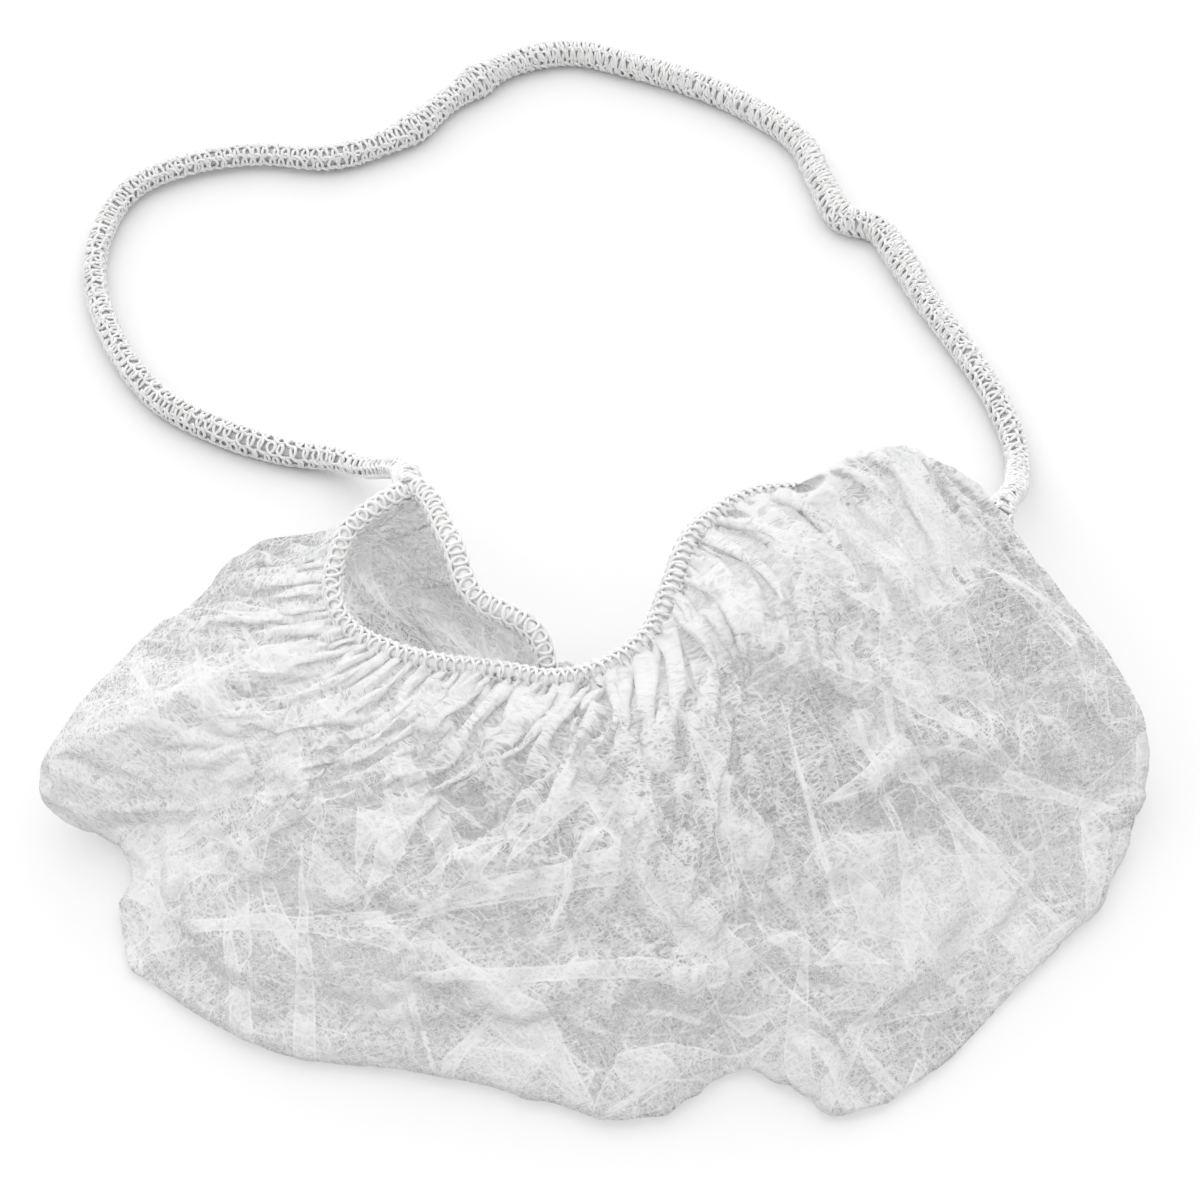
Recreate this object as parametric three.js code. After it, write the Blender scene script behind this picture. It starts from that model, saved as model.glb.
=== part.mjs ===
// Disposable beard cover: a gathered nonwoven pouch with an overlocked elastic edge round its mouth
// and an elastic head strap joined to both ends of the mouth. It lies on a flat surface.
// Millimetres, +Z up. The origin is on the surface, under the middle of the pouch.
// +X runs from the left end of the mouth to the right end, and -Y is the side of the chin.
import * as THREE from "three";
import { mergeVertices } from "three/addons/utils/BufferGeometryUtils.js";

// ---- Driving dimensions ----
const WALL = 1.2; // pouch wall, a stand-in for one layer of nonwoven
const GAP = 0.3; // clearance between neighbouring pieces
const BAND_DIAMETER = 4.4; // overlocked edge round the mouth
const STRAP_DIAMETER = 5.4; // head strap
const JOIN_DIAMETER = 7.4; // bunched stitches where a strap end meets the mouth
const JOIN_SEAT_DIAMETER = 3; // and where they start on the edge band
const TUCK_LEAST = 3; // how far the foot of the wall lies inside the girth
const TUCK_SHARE = 0.6; // and how much further for each millimetre of girth height
const BASE_CENTRE = [0, -6, 0];

// ---- Mesh density ----
const STEPS_ROUND_SECTION = 4; // columns between two neighbouring sections
const BAND_SIDES = 8;
const BAND_STEPS = 120;
const STRAP_SIDES = 8;
const STRAP_STEPS = 80;
const JOIN_SIDES = 10;
const JOIN_RINGS = 6;
const MERGE_DISTANCE = 1e-3; // vertices of a closed tube nearer than this are one

// The pouch's sections round its mouth, from the left end of the mouth along the chin side to the
// right end and back along the lip side. Each wall leaves the mouth at rim, swells at puff, is
// widest at girth and then turns under. crown lifts the wall halfway between puff and girth.
const SECTIONS = [
  { rim: [-38, 60, 40], puff: [-43, 61, 32], girth: [-57, 67, 14], crown: 2 },
  { rim: [-52, 52, 38], puff: [-58, 52, 32], girth: [-72, 63, 17], crown: 2 },
  { rim: [-56, 41, 35], puff: [-67, 43, 31], girth: [-83, 51, 14], crown: 4 },
  { rim: [-53, 31, 33], puff: [-68, 31, 32], girth: [-95, 32, 20], crown: 4 },
  { rim: [-44, 24, 33], puff: [-60, 15, 33], girth: [-110, 8, 19], crown: 6 },
  { rim: [-33, 20, 33], puff: [-46, 6, 33], girth: [-98, -8, 8], crown: 8 },
  { rim: [-21, 18, 33], puff: [-34, 2, 33], girth: [-92, -30, 5], crown: 9 },
  { rim: [-9, 15, 34], puff: [-19, -1, 34], girth: [-64, -52, 5], crown: 9 },
  { rim: [2, 17, 36], puff: [-3, 0, 36], girth: [-24, -59, 5], crown: 9 },
  { rim: [11, 23, 39], puff: [11, 4, 39], girth: [7, -67, 5], crown: 8 },
  { rim: [16, 33, 42], puff: [24, 13, 43], girth: [29, -57, 5], crown: 8 },
  { rim: [21, 46, 44], puff: [33, 28, 48], girth: [53, -66, 5], crown: 8 },
  { rim: [33, 57, 43], puff: [44, 44, 51], girth: [86, -33, 5], crown: 9 },
  { rim: [51, 61, 42], puff: [58, 59, 56], girth: [106, -3, 9], crown: 7 },
  { rim: [68, 62, 37], puff: [74, 59, 48], girth: [109, 19, 18], crown: 4 },
  { rim: [82, 54, 33], puff: [87, 54, 36], girth: [95, 41, 19], crown: 2 },
  { rim: [76, 39, 20], puff: [82, 57, 23], girth: [85, 62, 10], crown: 1 },
  { rim: [59, 26, 15], puff: [62, 50, 19], girth: [63, 68, 9], crown: 1 },
  { rim: [38, 15, 14], puff: [40, 43, 18], girth: [40, 63, 9], crown: 1 },
  { rim: [18, 9, 14], puff: [19, 34, 17], girth: [20, 54, 8], crown: 1 },
  { rim: [2, 13, 18], puff: [2, 27, 18], girth: [4, 43, 6], crown: 1 },
  { rim: [-8, 21, 25], puff: [-8, 29, 22], girth: [-8, 41, 8], crown: 1 },
  { rim: [-13, 30, 34], puff: [-15, 37, 28], girth: [-21, 50, 9], crown: 2 },
  { rim: [-25, 36, 38], puff: [-27, 43, 30], girth: [-36, 60, 10], crown: 2 },
  { rim: [-30, 48, 41], puff: [-32, 54, 34], girth: [-47, 68, 12], crown: 2 },
];
const LEFT_END = 0; // the section at the left end of the mouth
const RIGHT_END = 15; // and the one at its right end

// How a section's curve is shared out between its rim, puff, crown, girth, foot and base centre.
const STRETCHES = [
  { to: "puff", rows: 3 },
  { to: "crown", rows: 4 },
  { to: "girth", rows: 4 },
  { to: "foot", rows: 3 },
  { to: "centre", rows: 2 },
];

// Main folds of the upper wall, seen from above: a ridge of that height (or a valley, if negative)
// runs from one point to the other and fades over its width on both sides.
const FOLDS = [
  { from: [-110, 7], to: [-54, 26], width: 9, height: 5 },
  { from: [-53, 13], to: [-70, -19], width: 8, height: 5 },
  { from: [-94, -8], to: [-72, -19], width: 7, height: -4 },
  { from: [-4, 12], to: [8, -25], width: 7, height: 7 },
  { from: [8, -25], to: [48, -60], width: 8, height: 6 },
  { from: [8, -25], to: [-34, -30], width: 7, height: 5 },
  { from: [-81, -30], to: [-8, -54], width: 6, height: 4 },
  { from: [-30, -46], to: [36, -39], width: 6, height: 3 },
  { from: [20, 38], to: [78, 2], width: 8, height: 5 },
  { from: [58, -1], to: [104, 9], width: 8, height: 4 },
  { from: [20, 14], to: [50, 8], width: 8, height: -6 },
  { from: [-28, 2], to: [-26, -24], width: 10, height: -4 },
  { from: [55, -16], to: [90, -24], width: 9, height: -4 },
];

// The head strap's route, from the left join over the pouch's back wall, round on the surface, and
// up to the right join.
const STRAP_HEIGHT = 3;
const STRAP_ROUTE = [
  [-40, 70, 35], [-42, 78, 28], [-45, 87, 18], [-50, 96, 8], [-57, 102, 4],
  [-68, 105, STRAP_HEIGHT], [-82, 111, STRAP_HEIGHT], [-95, 120, STRAP_HEIGHT],
  [-105, 135, STRAP_HEIGHT], [-111, 153, STRAP_HEIGHT], [-111, 169, STRAP_HEIGHT],
  [-105, 184, STRAP_HEIGHT], [-92, 192, STRAP_HEIGHT], [-77, 195, STRAP_HEIGHT],
  [-61, 194, STRAP_HEIGHT], [-45, 201, STRAP_HEIGHT], [-33, 214, STRAP_HEIGHT],
  [-21, 224, STRAP_HEIGHT], [-7, 228, STRAP_HEIGHT], [7, 224, STRAP_HEIGHT],
  [21, 218, STRAP_HEIGHT], [34, 210, STRAP_HEIGHT], [45, 199, STRAP_HEIGHT],
  [50, 185, STRAP_HEIGHT], [54, 175, STRAP_HEIGHT], [62, 171, STRAP_HEIGHT],
  [67, 161, STRAP_HEIGHT], [72, 149, STRAP_HEIGHT], [78, 137, STRAP_HEIGHT],
  [84, 124, STRAP_HEIGHT], [88, 111, STRAP_HEIGHT], [89, 101, 4], [88, 92, 9],
  [87, 84, 15], [85, 76, 22], [83, 69, 27],
];

const FINISHES = {
  nonwoven: { color: 0xf2f2f3, roughness: 0.85, metalness: 0 },
  elastic: { color: 0xf6f5f2, roughness: 0.8, metalness: 0 },
};

// ---- Geometry ----
const vector = ([x, y, z]) => new THREE.Vector3(x, y, z);
const mix = (a, b, share) => vector(a).lerp(vector(b), share).toArray();

// The section's six named points, with the crown, foot and centre worked out from the table.
function sectionPoints({ rim, puff, girth, crown }) {
  const crownPoint = mix(puff, girth, 0.5);
  crownPoint[2] += crown;
  const inward = vector(BASE_CENTRE).sub(vector(girth)).setZ(0).normalize();
  const tuck = TUCK_LEAST + TUCK_SHARE * girth[2];
  const foot = [girth[0] + inward.x * tuck, girth[1] + inward.y * tuck, 0];
  return { rim, puff, crown: crownPoint, girth, foot, centre: BASE_CENTRE };
}

// A closed curve through one named point of every section.
function ringCurve(name) {
  const points = SECTIONS.map((section) => vector(sectionPoints(section)[name]));
  return new THREE.CatmullRomCurve3(points, true, "catmullrom", 0.5);
}

const RING_NAMES = ["rim", ...STRETCHES.slice(0, -1).map((stretch) => stretch.to)];
const RINGS = Object.fromEntries(RING_NAMES.map((name) => [name, ringCurve(name)]));

// Distance from a point to a fold's line, seen from above.
function distanceToFold([x, y], { from, to }) {
  const along = [to[0] - from[0], to[1] - from[1]];
  const length2 = along[0] ** 2 + along[1] ** 2;
  const share = ((x - from[0]) * along[0] + (y - from[1]) * along[1]) / length2;
  const near = THREE.MathUtils.clamp(share, 0, 1);
  return Math.hypot(x - from[0] - near * along[0], y - from[1] - near * along[1]);
}

// Height that the strongest ridge and the strongest valley add at a point of the upper wall.
function foldHeight(point) {
  const part = (fold) => fold.height * Math.exp(-((distanceToFold(point, fold) / fold.width) ** 2));
  const parts = FOLDS.map(part);
  return Math.max(...parts, 0) + Math.min(...parts, 0);
}

// One column of the wall, from the rim to the last row before the base centre.
function wallColumn(turn) {
  const points = RING_NAMES.map((name) => RINGS[name].getPoint(turn));
  points.push(vector(BASE_CENTRE));
  const section = new THREE.CatmullRomCurve3(points, false, "catmullrom", 0.5);
  const column = [];
  STRETCHES.forEach(({ to, rows }, stretch) => {
    for (let row = 0; row < rows; row++) {
      const share = row / rows;
      const point = section.getPoint((stretch + share) / STRETCHES.length);
      if (to === "centre") point.z = 0;
      const upper = { puff: share, crown: 1, girth: 1 - share }[to] ?? 0;
      if (upper > 0) point.z += upper * foldHeight([point.x, point.y]);
      point.z = Math.max(point.z, 0);
      column.push(point);
    }
  });
  return column;
}

// Joins a grid of points, closed across its columns, into triangles that face outwards.
function gridTriangles(columns, rows, firstVertex, flip) {
  const triangles = [];
  const at = (column, row) => firstVertex + (column % columns) * rows + row;
  for (let column = 0; column < columns; column++)
    for (let row = 0; row < rows - 1; row++) {
      const [a, b] = [at(column, row), at(column + 1, row)];
      const [c, d] = [at(column + 1, row + 1), at(column, row + 1)];
      triangles.push(...(flip ? [a, c, b, a, d, c] : [a, b, c, a, c, d]));
    }
  return triangles;
}

function indexedGeometry(positions, triangles) {
  const geometry = new THREE.BufferGeometry();
  geometry.setAttribute("position", new THREE.Float32BufferAttribute(positions, 3));
  geometry.setIndex(triangles);
  geometry.computeVertexNormals();
  return geometry;
}

// The hollow pouch: an outer skin and an inner skin a wall's thickness inside it, joined at the rim.
function pouchGeometry() {
  const columns = SECTIONS.length * STEPS_ROUND_SECTION;
  const outer = Array.from({ length: columns }, (_, i) => wallColumn(i / columns));
  const rows = outer[0].length;
  const pole = columns * rows;
  const positions = [...outer.flat(), vector(BASE_CENTRE)].flatMap((p) => p.toArray());
  const skin = gridTriangles(columns, rows, 0, true);
  for (let column = 0; column < columns; column++)
    skin.push(pole, ((column + 1) % columns) * rows + rows - 1, column * rows + rows - 1);
  const skinGeometry = indexedGeometry(positions, skin);
  const normals = skinGeometry.getAttribute("normal");
  const count = pole + 1;
  const inner = [];
  for (let i = 0; i < count; i++)
    for (let axis = 0; axis < 3; axis++)
      inner.push(positions[3 * i + axis] - WALL * normals.getComponent(i, axis));
  const triangles = [...skin];
  for (let i = 0; i < skin.length; i += 3)
    triangles.push(count + skin[i], count + skin[i + 2], count + skin[i + 1]);
  for (let column = 0; column < columns; column++) {
    const a = column * rows;
    const b = ((column + 1) % columns) * rows;
    triangles.push(a, b, count + b, a, count + b, count + a);
  }
  return indexedGeometry([...positions, ...inner], triangles);
}

// The line of the edge band: the middle of the wall's lip, moved off it by the band's radius and a gap.
function bandCurve() {
  const columns = SECTIONS.length * STEPS_ROUND_SECTION;
  const edges = Array.from({ length: columns }, (_, i) => wallColumn(i / columns).slice(0, 2));
  const points = edges.map(([edge, next], i) => {
    const along = edges[(i + 1) % columns][0].clone().sub(edges.at(i - 1)[0]).normalize();
    const away = edge.clone().sub(next);
    away.addScaledVector(along, -away.dot(along)).normalize();
    const inward = new THREE.Vector3().crossVectors(away, along).multiplyScalar(WALL / 2);
    return edge.clone().add(inward).addScaledVector(away, BAND_DIAMETER / 2 + GAP);
  });
  return new THREE.CatmullRomCurve3(points, true, "catmullrom", 0.5);
}

const band = bandCurve();

function closedTube(curve, steps, diameter, sides) {
  const tube = new THREE.TubeGeometry(curve, steps, diameter / 2, sides, true);
  tube.deleteAttribute("normal");
  tube.deleteAttribute("uv");
  return mergeVertices(tube, MERGE_DISTANCE);
}

function roundSection(diameter, sides) {
  const points = Array.from({ length: sides }, (_, i) => {
    const angle = (2 * Math.PI * i) / sides;
    return new THREE.Vector2(Math.cos(angle), Math.sin(angle)).multiplyScalar(diameter / 2);
  });
  return new THREE.Shape(points);
}

const strapRoute = new THREE.CatmullRomCurve3(STRAP_ROUTE.map(vector), false, "centripetal");

function strapGeometry() {
  return new THREE.ExtrudeGeometry(roundSection(STRAP_DIAMETER, STRAP_SIDES), {
    steps: STRAP_STEPS,
    extrudePath: strapRoute,
    bevelEnabled: false,
  });
}

// The line of a join: square off the edge band at one section, and face to face with a strap end.
function joinLine(section, strapEnd, outOfStrap) {
  const turn = section / SECTIONS.length;
  const seat = band.getPoint(turn);
  const along = band.getTangent(turn);
  const away = strapEnd.clone().sub(seat);
  away.addScaledVector(along, -away.dot(along)).normalize();
  const start = seat.clone().addScaledVector(away, BAND_DIAMETER / 2 + GAP);
  const end = strapEnd.clone().addScaledVector(outOfStrap, GAP);
  const pull = start.distanceTo(end) / 3;
  const controls = [start.clone().addScaledVector(away, pull), end.clone().addScaledVector(outOfStrap, pull)];
  return new THREE.CubicBezierCurve3(start, controls[0], controls[1], end);
}

// A barrel of bunched stitches along a line, from the edge band to the strap.
function joinGeometry(line) {
  const frames = line.computeFrenetFrames(JOIN_RINGS, false);
  const rings = [];
  for (let i = 0; i <= JOIN_RINGS; i++) {
    const share = i / JOIN_RINGS;
    const plain = THREE.MathUtils.lerp(JOIN_SEAT_DIAMETER, STRAP_DIAMETER, share);
    const swell = Math.sin(Math.PI * share) * (JOIN_DIAMETER - STRAP_DIAMETER);
    const centre = line.getPointAt(share);
    for (let side = 0; side < JOIN_SIDES; side++) {
      const angle = (2 * Math.PI * side) / JOIN_SIDES;
      const point = centre.clone();
      point.addScaledVector(frames.normals[i], (Math.cos(angle) * (plain + swell)) / 2);
      point.addScaledVector(frames.binormals[i], (Math.sin(angle) * (plain + swell)) / 2);
      rings.push(point);
    }
  }
  const last = JOIN_RINGS * JOIN_SIDES;
  const [startPole, endPole] = [rings.length, rings.length + 1];
  const triangles = [];
  for (let side = 0; side < JOIN_SIDES; side++) {
    const next = (side + 1) % JOIN_SIDES;
    triangles.push(startPole, next, side, endPole, last + side, last + next);
    for (let ring = 0; ring < last; ring += JOIN_SIDES) {
      const [a, b, c] = [ring + side, ring + next, ring + next + JOIN_SIDES];
      triangles.push(a, b, c, a, c, a + JOIN_SIDES);
    }
  }
  const points = [...rings, line.getPointAt(0), line.getPointAt(1)];
  return indexedGeometry(points.flatMap((point) => point.toArray()), triangles);
}

// ---- Pieces ----
function piece(name, geometry, finish) {
  const mesh = new THREE.Mesh(geometry, new THREE.MeshStandardMaterial(finish));
  mesh.name = name;
  return mesh;
}

const bandGeometry = closedTube(band, BAND_STEPS, BAND_DIAMETER, BAND_SIDES);
const leftLine = joinLine(LEFT_END, strapRoute.getPoint(0), strapRoute.getTangent(0).negate());
const rightLine = joinLine(RIGHT_END, strapRoute.getPoint(1), strapRoute.getTangent(1));

const cover = new THREE.Group();
cover.add(piece("pouch", pouchGeometry(), FINISHES.nonwoven));
cover.add(piece("rim_band", bandGeometry, FINISHES.elastic));
cover.add(piece("head_strap", strapGeometry(), FINISHES.elastic));
cover.add(piece("strap_join_left", joinGeometry(leftLine), FINISHES.elastic));
cover.add(piece("strap_join_right", joinGeometry(rightLine), FINISHES.elastic));

export default cover;
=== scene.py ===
"""Disposable beard cover: a gathered nonwoven pouch with an overlocked elastic edge round its mouth,
and an elastic head strap that is looped behind it. Everything is in metres, +Z up, in the frame of the
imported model."""
import math

import bpy
import numpy as np
from bpy.props import FloatProperty, FloatVectorProperty, PointerProperty
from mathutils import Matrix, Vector


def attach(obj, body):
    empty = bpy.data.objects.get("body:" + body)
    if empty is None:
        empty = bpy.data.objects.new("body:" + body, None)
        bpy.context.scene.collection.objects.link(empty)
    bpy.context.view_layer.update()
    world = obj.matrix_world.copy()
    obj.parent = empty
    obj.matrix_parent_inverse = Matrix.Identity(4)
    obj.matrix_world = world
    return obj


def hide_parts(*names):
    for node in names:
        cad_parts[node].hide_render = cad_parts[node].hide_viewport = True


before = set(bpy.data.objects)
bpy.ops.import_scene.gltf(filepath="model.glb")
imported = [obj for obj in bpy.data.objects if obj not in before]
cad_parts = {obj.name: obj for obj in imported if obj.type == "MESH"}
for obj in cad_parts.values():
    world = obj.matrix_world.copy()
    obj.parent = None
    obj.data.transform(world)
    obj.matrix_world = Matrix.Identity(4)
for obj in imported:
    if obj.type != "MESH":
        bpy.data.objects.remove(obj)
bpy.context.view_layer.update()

bl_info = {
    "name": "Disposable beard cover",
    "version": (1, 0, 0),
    "blender": (4, 5, 0),
    "location": "View3D > Sidebar > Beard cover",
    "description": "Builds a gathered nonwoven beard cover with its elastic edge and head strap",
    "category": "Add Mesh",
}

BODY = "root"
MM = 0.001


def table(columns, rows):
    """The rows of a table, with their values by the columns' names."""
    return [dict(zip(columns, row)) for row in rows]


# ---- Shape of the pouch ----
# The pouch's sections round its mouth, from the left end of the mouth along the chin side to the right
# end and back along the lip side: where the wall leaves the mouth (rim), swells (puff) and is widest
# (girth), and how far its middle is raised (crown), all in millimetres. The rims are those of the
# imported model. The rest lies up to 7 mm further in at the front, low on the left and on the right,
# because slack cloth falls inside its stand-in wall there.
SECTIONS = table(("rim", "puff", "girth", "crown"), [
    ((-38, 60, 40), (-43, 61, 32), (-57, 67, 14), 2),
    ((-52, 52, 38), (-58, 52, 32), (-72, 63, 17), 2),
    ((-56, 41, 35), (-67, 43, 31), (-83, 51, 14), 4),
    ((-53, 31, 33), (-68, 31, 32), (-95, 32, 20), 4),
    ((-44, 24, 33), (-60, 15, 33), (-110, 8, 19), 6),
    ((-33, 20, 33), (-46, 6, 33), (-91, -5, 8), 7),
    ((-21, 18, 33), (-34, 2, 33), (-89, -28, 5), 9),
    ((-9, 15, 34), (-19, -1, 34), (-59, -48, 5), 9),
    ((2, 17, 36), (-3, 0, 36), (-23, -55, 5), 9),
    ((11, 23, 39), (11, 4, 39), (7, -63, 5), 8),
    ((16, 33, 42), (24, 13, 43), (28, -53, 5), 8),
    ((21, 46, 44), (33, 28, 48), (51, -60, 5), 8),
    ((33, 57, 43), (44, 44, 49), (81, -31, 5), 8),
    ((51, 61, 42), (58, 59, 53), (101, -3, 9), 6),
    ((68, 62, 37), (73, 59, 46), (108, 19, 18), 3),
    ((82, 54, 33), (84, 53, 34), (90, 38, 18), 0),
    ((76, 39, 20), (80, 56, 23), (83, 60, 10), 0),
    ((59, 26, 15), (62, 50, 19), (63, 68, 9), 1),
    ((38, 15, 14), (40, 43, 18), (40, 63, 9), 1),
    ((18, 9, 14), (19, 34, 17), (20, 54, 8), 1),
    ((2, 13, 18), (2, 27, 18), (4, 43, 6), 1),
    ((-8, 21, 25), (-8, 29, 22), (-8, 41, 8), 1),
    ((-13, 30, 34), (-15, 37, 28), (-21, 50, 9), 2),
    ((-25, 36, 38), (-27, 43, 30), (-36, 60, 10), 2),
    ((-30, 48, 41), (-32, 54, 34), (-47, 68, 12), 2),
])
LEFT_END = 0  # the sections at the two ends of the mouth
RIGHT_END = 15
LIP_SECTIONS = [15, 18, 23, 25]  # from the right end of the mouth, behind it, to the left end again
BASE_CENTRE = (0, -6, 0)
PLAN_LOW = (-112, -70)  # small creases and folds are drawn between these, seen from above
PLAN_HIGH = (112, 70)
TUCK_LEAST = 3  # how far the wall turns in under its girth, and how much more for its height
TUCK_SHARE = 0.6
WALL = 1.2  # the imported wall's thickness, its gap to the edge, and the edge's own thickness
GAP = 0.3
EDGE_DIAMETER = 4.4
EDGE_CLOTH = 1.15  # length of the flat cut's edge, in metres

# Main folds of the upper wall, seen from above, in millimetres: each is a ridge along its line, or a
# valley where the height is negative. lean is how far the ridge falls over to the left of its
# direction, so that the cloth overlaps itself there.
FOLDS = table(("line", "width", "height", "lean"), [
    ([(-110, 7), (-89, 13), (-54, 26)], 8, 6, -4),
    ([(-53, 13), (-63, -10), (-70, -19)], 7, 5, 5),
    ([(-94, -8), (-72, -19)], 7, -4, 0),
    ([(-4, 12), (2, -5), (8, -25)], 6, 7, 5),
    ([(-22, 4), (-16, -21)], 3, 3, 3),
    ([(8, -25), (19, -29), (38, -44), (48, -60)], 7, 6, 4),
    ([(8, -24), (-8, -26), (-34, -30)], 5, 5, -3),
    ([(-81, -29), (-65, -37), (-34, -40), (-23, -46), (-8, -56)], 6, 4, -3),
    ([(-34, -42), (-8, -46), (19, -43), (36, -39)], 5, 4, -3),
    ([(18, 39), (27, 18), (59, 10), (78, 2)], 7, 5, -4),
    ([(58, -1), (78, 5), (104, 9)], 6, 5, -4),
    ([(20, 14), (35, 14), (50, 8)], 8, -6, 0),
    ([(-28, 2), (-26, -24)], 10, -4, 0),
    ([(55, -16), (90, -24)], 9, -4, 0),
])
FOLD_SHARE = 0.45  # how much of the main folds' height the settled cloth keeps
FOLD_ENDS = {"long": 0.12, "least": 0.15}  # the share of a fold over which it dies away, and to how much

# ---- The head strap's route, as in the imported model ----
STRAP_HEIGHT = 0.003
STRAP_ROUTE = [
    (-0.040, 0.070, 0.035), (-0.042, 0.078, 0.028), (-0.045, 0.087, 0.018), (-0.050, 0.096, 0.008),
    (-0.057, 0.102, 0.004), (-0.068, 0.105, STRAP_HEIGHT), (-0.082, 0.111, STRAP_HEIGHT),
    (-0.095, 0.120, STRAP_HEIGHT), (-0.105, 0.135, STRAP_HEIGHT), (-0.111, 0.153, STRAP_HEIGHT),
    (-0.111, 0.169, STRAP_HEIGHT), (-0.105, 0.184, STRAP_HEIGHT), (-0.092, 0.192, STRAP_HEIGHT),
    (-0.077, 0.195, STRAP_HEIGHT), (-0.061, 0.194, STRAP_HEIGHT), (-0.045, 0.201, STRAP_HEIGHT),
    (-0.033, 0.214, STRAP_HEIGHT), (-0.021, 0.224, STRAP_HEIGHT), (-0.007, 0.228, STRAP_HEIGHT),
    (0.007, 0.224, STRAP_HEIGHT), (0.021, 0.218, STRAP_HEIGHT), (0.034, 0.210, STRAP_HEIGHT),
    (0.045, 0.199, STRAP_HEIGHT), (0.050, 0.185, STRAP_HEIGHT), (0.054, 0.175, STRAP_HEIGHT),
    (0.062, 0.171, STRAP_HEIGHT), (0.067, 0.161, STRAP_HEIGHT), (0.072, 0.149, STRAP_HEIGHT),
    (0.078, 0.137, STRAP_HEIGHT), (0.084, 0.124, STRAP_HEIGHT), (0.088, 0.111, STRAP_HEIGHT),
    (0.089, 0.101, 0.004), (0.088, 0.092, 0.009), (0.087, 0.084, 0.015), (0.085, 0.076, 0.022),
    (0.083, 0.069, 0.027),
]


# ---- Settings ----
class PouchSettings(bpy.types.PropertyGroup):
    """Sizes and colour of the nonwoven pouch"""

    cut_length: FloatProperty(
        name="Cut length", description="Long way across the oval cut", default=0.46, unit="LENGTH")
    cut_width: FloatProperty(
        name="Cut width", description="Short way across the oval cut", default=0.27, unit="LENGTH")
    colour: FloatVectorProperty(
        name="Colour", description="Colour of the fibres", default=(0.97, 0.97, 0.975),
        subtype="COLOR", min=0, max=1)


class ElasticSettings(bpy.types.PropertyGroup):
    """Sizes and colours of the elastic edge, the head strap and their stitches"""

    strap_diameter: FloatProperty(
        name="Strap diameter", description="Over the stitches", default=0.0054, unit="LENGTH")
    edge_diameter: FloatProperty(
        name="Edge diameter", description="Over the stitches", default=0.0044, unit="LENGTH")
    thread: FloatProperty(
        name="Thread", description="Diameter of the stitching thread", default=0.0008, unit="LENGTH")
    # The core is drawn grey, darker than the thread: painted shade for the gaps between the stitches'
    # loops.
    shaded_core_colour: FloatVectorProperty(
        name="Core colour", description="Colour of the elastic core", default=(0.6, 0.6, 0.605),
        subtype="COLOR", min=0, max=1)
    hem_colour: FloatVectorProperty(
        name="Hem colour", description="Colour of the cloth inside the edge", default=(0.88, 0.88, 0.88),
        subtype="COLOR", min=0, max=1)
    thread_colour: FloatVectorProperty(
        name="Thread colour", description="Colour of the thread", default=(0.88, 0.88, 0.875),
        subtype="COLOR", min=0, max=1)


class StageSettings(bpy.types.PropertyGroup):
    """The floor, the lights and the camera"""

    floor_colour: FloatVectorProperty(
        name="Floor colour", description="Colour of the floor", default=(0.812, 0.812, 0.812),
        subtype="COLOR", min=0, max=1)
    focal_length: FloatProperty(
        name="Focal length", description="Camera lens, in millimetres", default=143.5)


def settings():
    """The beard cover's settings, as they stand in the scene."""
    return bpy.context.scene.beard_cover


# ---- Node helpers ----
def add_node(tree, kind, inputs=None, **options):
    """A node with its options set. inputs maps a socket's name or place to a value or an output."""
    made = tree.nodes.new(kind)
    for key, value in options.items():
        setattr(made, key, value)
    for key, value in (inputs or {}).items():
        socket = made.inputs[key]
        if isinstance(value, bpy.types.NodeSocket):
            tree.links.new(value, socket)
        else:
            socket.default_value = value
    return made


def maths(tree, operation, first, second=None, third=None):
    """One Math node's output."""
    values = {place: v for place, v in enumerate((first, second, third)) if v is not None}
    return add_node(tree, "ShaderNodeMath", values, operation=operation).outputs[0]


def chained(tree, operation, values):
    """Several values joined two by two by one Math operation."""
    total = values[0]
    for value in values[1:]:
        total = maths(tree, operation, total, value)
    return total


def vector_maths(tree, operation, first, second=None, scale=None):
    """One Vector Math node's output."""
    values = {place: v for place, v in enumerate((first, second)) if v is not None}
    if scale is not None:
        values["Scale"] = scale
    made = add_node(tree, "ShaderNodeVectorMath", values, operation=operation)
    return made.outputs["Value" if operation in ("DOT_PRODUCT", "LENGTH") else "Vector"]


def ramp(tree, value, low, high, out_low=0.0, out_high=1.0, smooth=True):
    """value from low to high, as out_low to out_high and no further."""
    made = add_node(
        tree, "ShaderNodeMapRange",
        {"Value": value, "From Min": low, "From Max": high, "To Min": out_low, "To Max": out_high},
        interpolation_type="SMOOTHSTEP" if smooth else "LINEAR")
    return made.outputs["Result"]


# ---- Curves and surfaces ----
def curve_at(points, places, closed):
    """Points on the Catmull-Rom curve through points. places run from 0 to the number of spans."""
    points = np.asarray(points, float)
    count = len(points)
    places = np.asarray(places, float)
    if closed:
        first = np.floor(places).astype(int)
        share = places - first
        near = [points[(first + step) % count] for step in (-1, 0, 1, 2)]
    else:
        padded = np.concatenate([[2 * points[0] - points[1]], points, [2 * points[-1] - points[-2]]])
        first = np.minimum(np.floor(places).astype(int), count - 2)
        share = places - first
        near = [padded[first + step] for step in (0, 1, 2, 3)]
    w = share.reshape(share.shape + (1,) * (points.ndim - 1))
    before, start, end, after = near
    return 0.5 * (
        2 * start + (end - before) * w
        + (2 * before - 5 * start + 4 * end - after) * w ** 2
        + (3 * start - before - 3 * end + after) * w ** 3
    )


def unit(vectors):
    """The vectors, each made one long."""
    return vectors / np.maximum(np.linalg.norm(vectors, axis=-1, keepdims=True), 1e-12)


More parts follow.
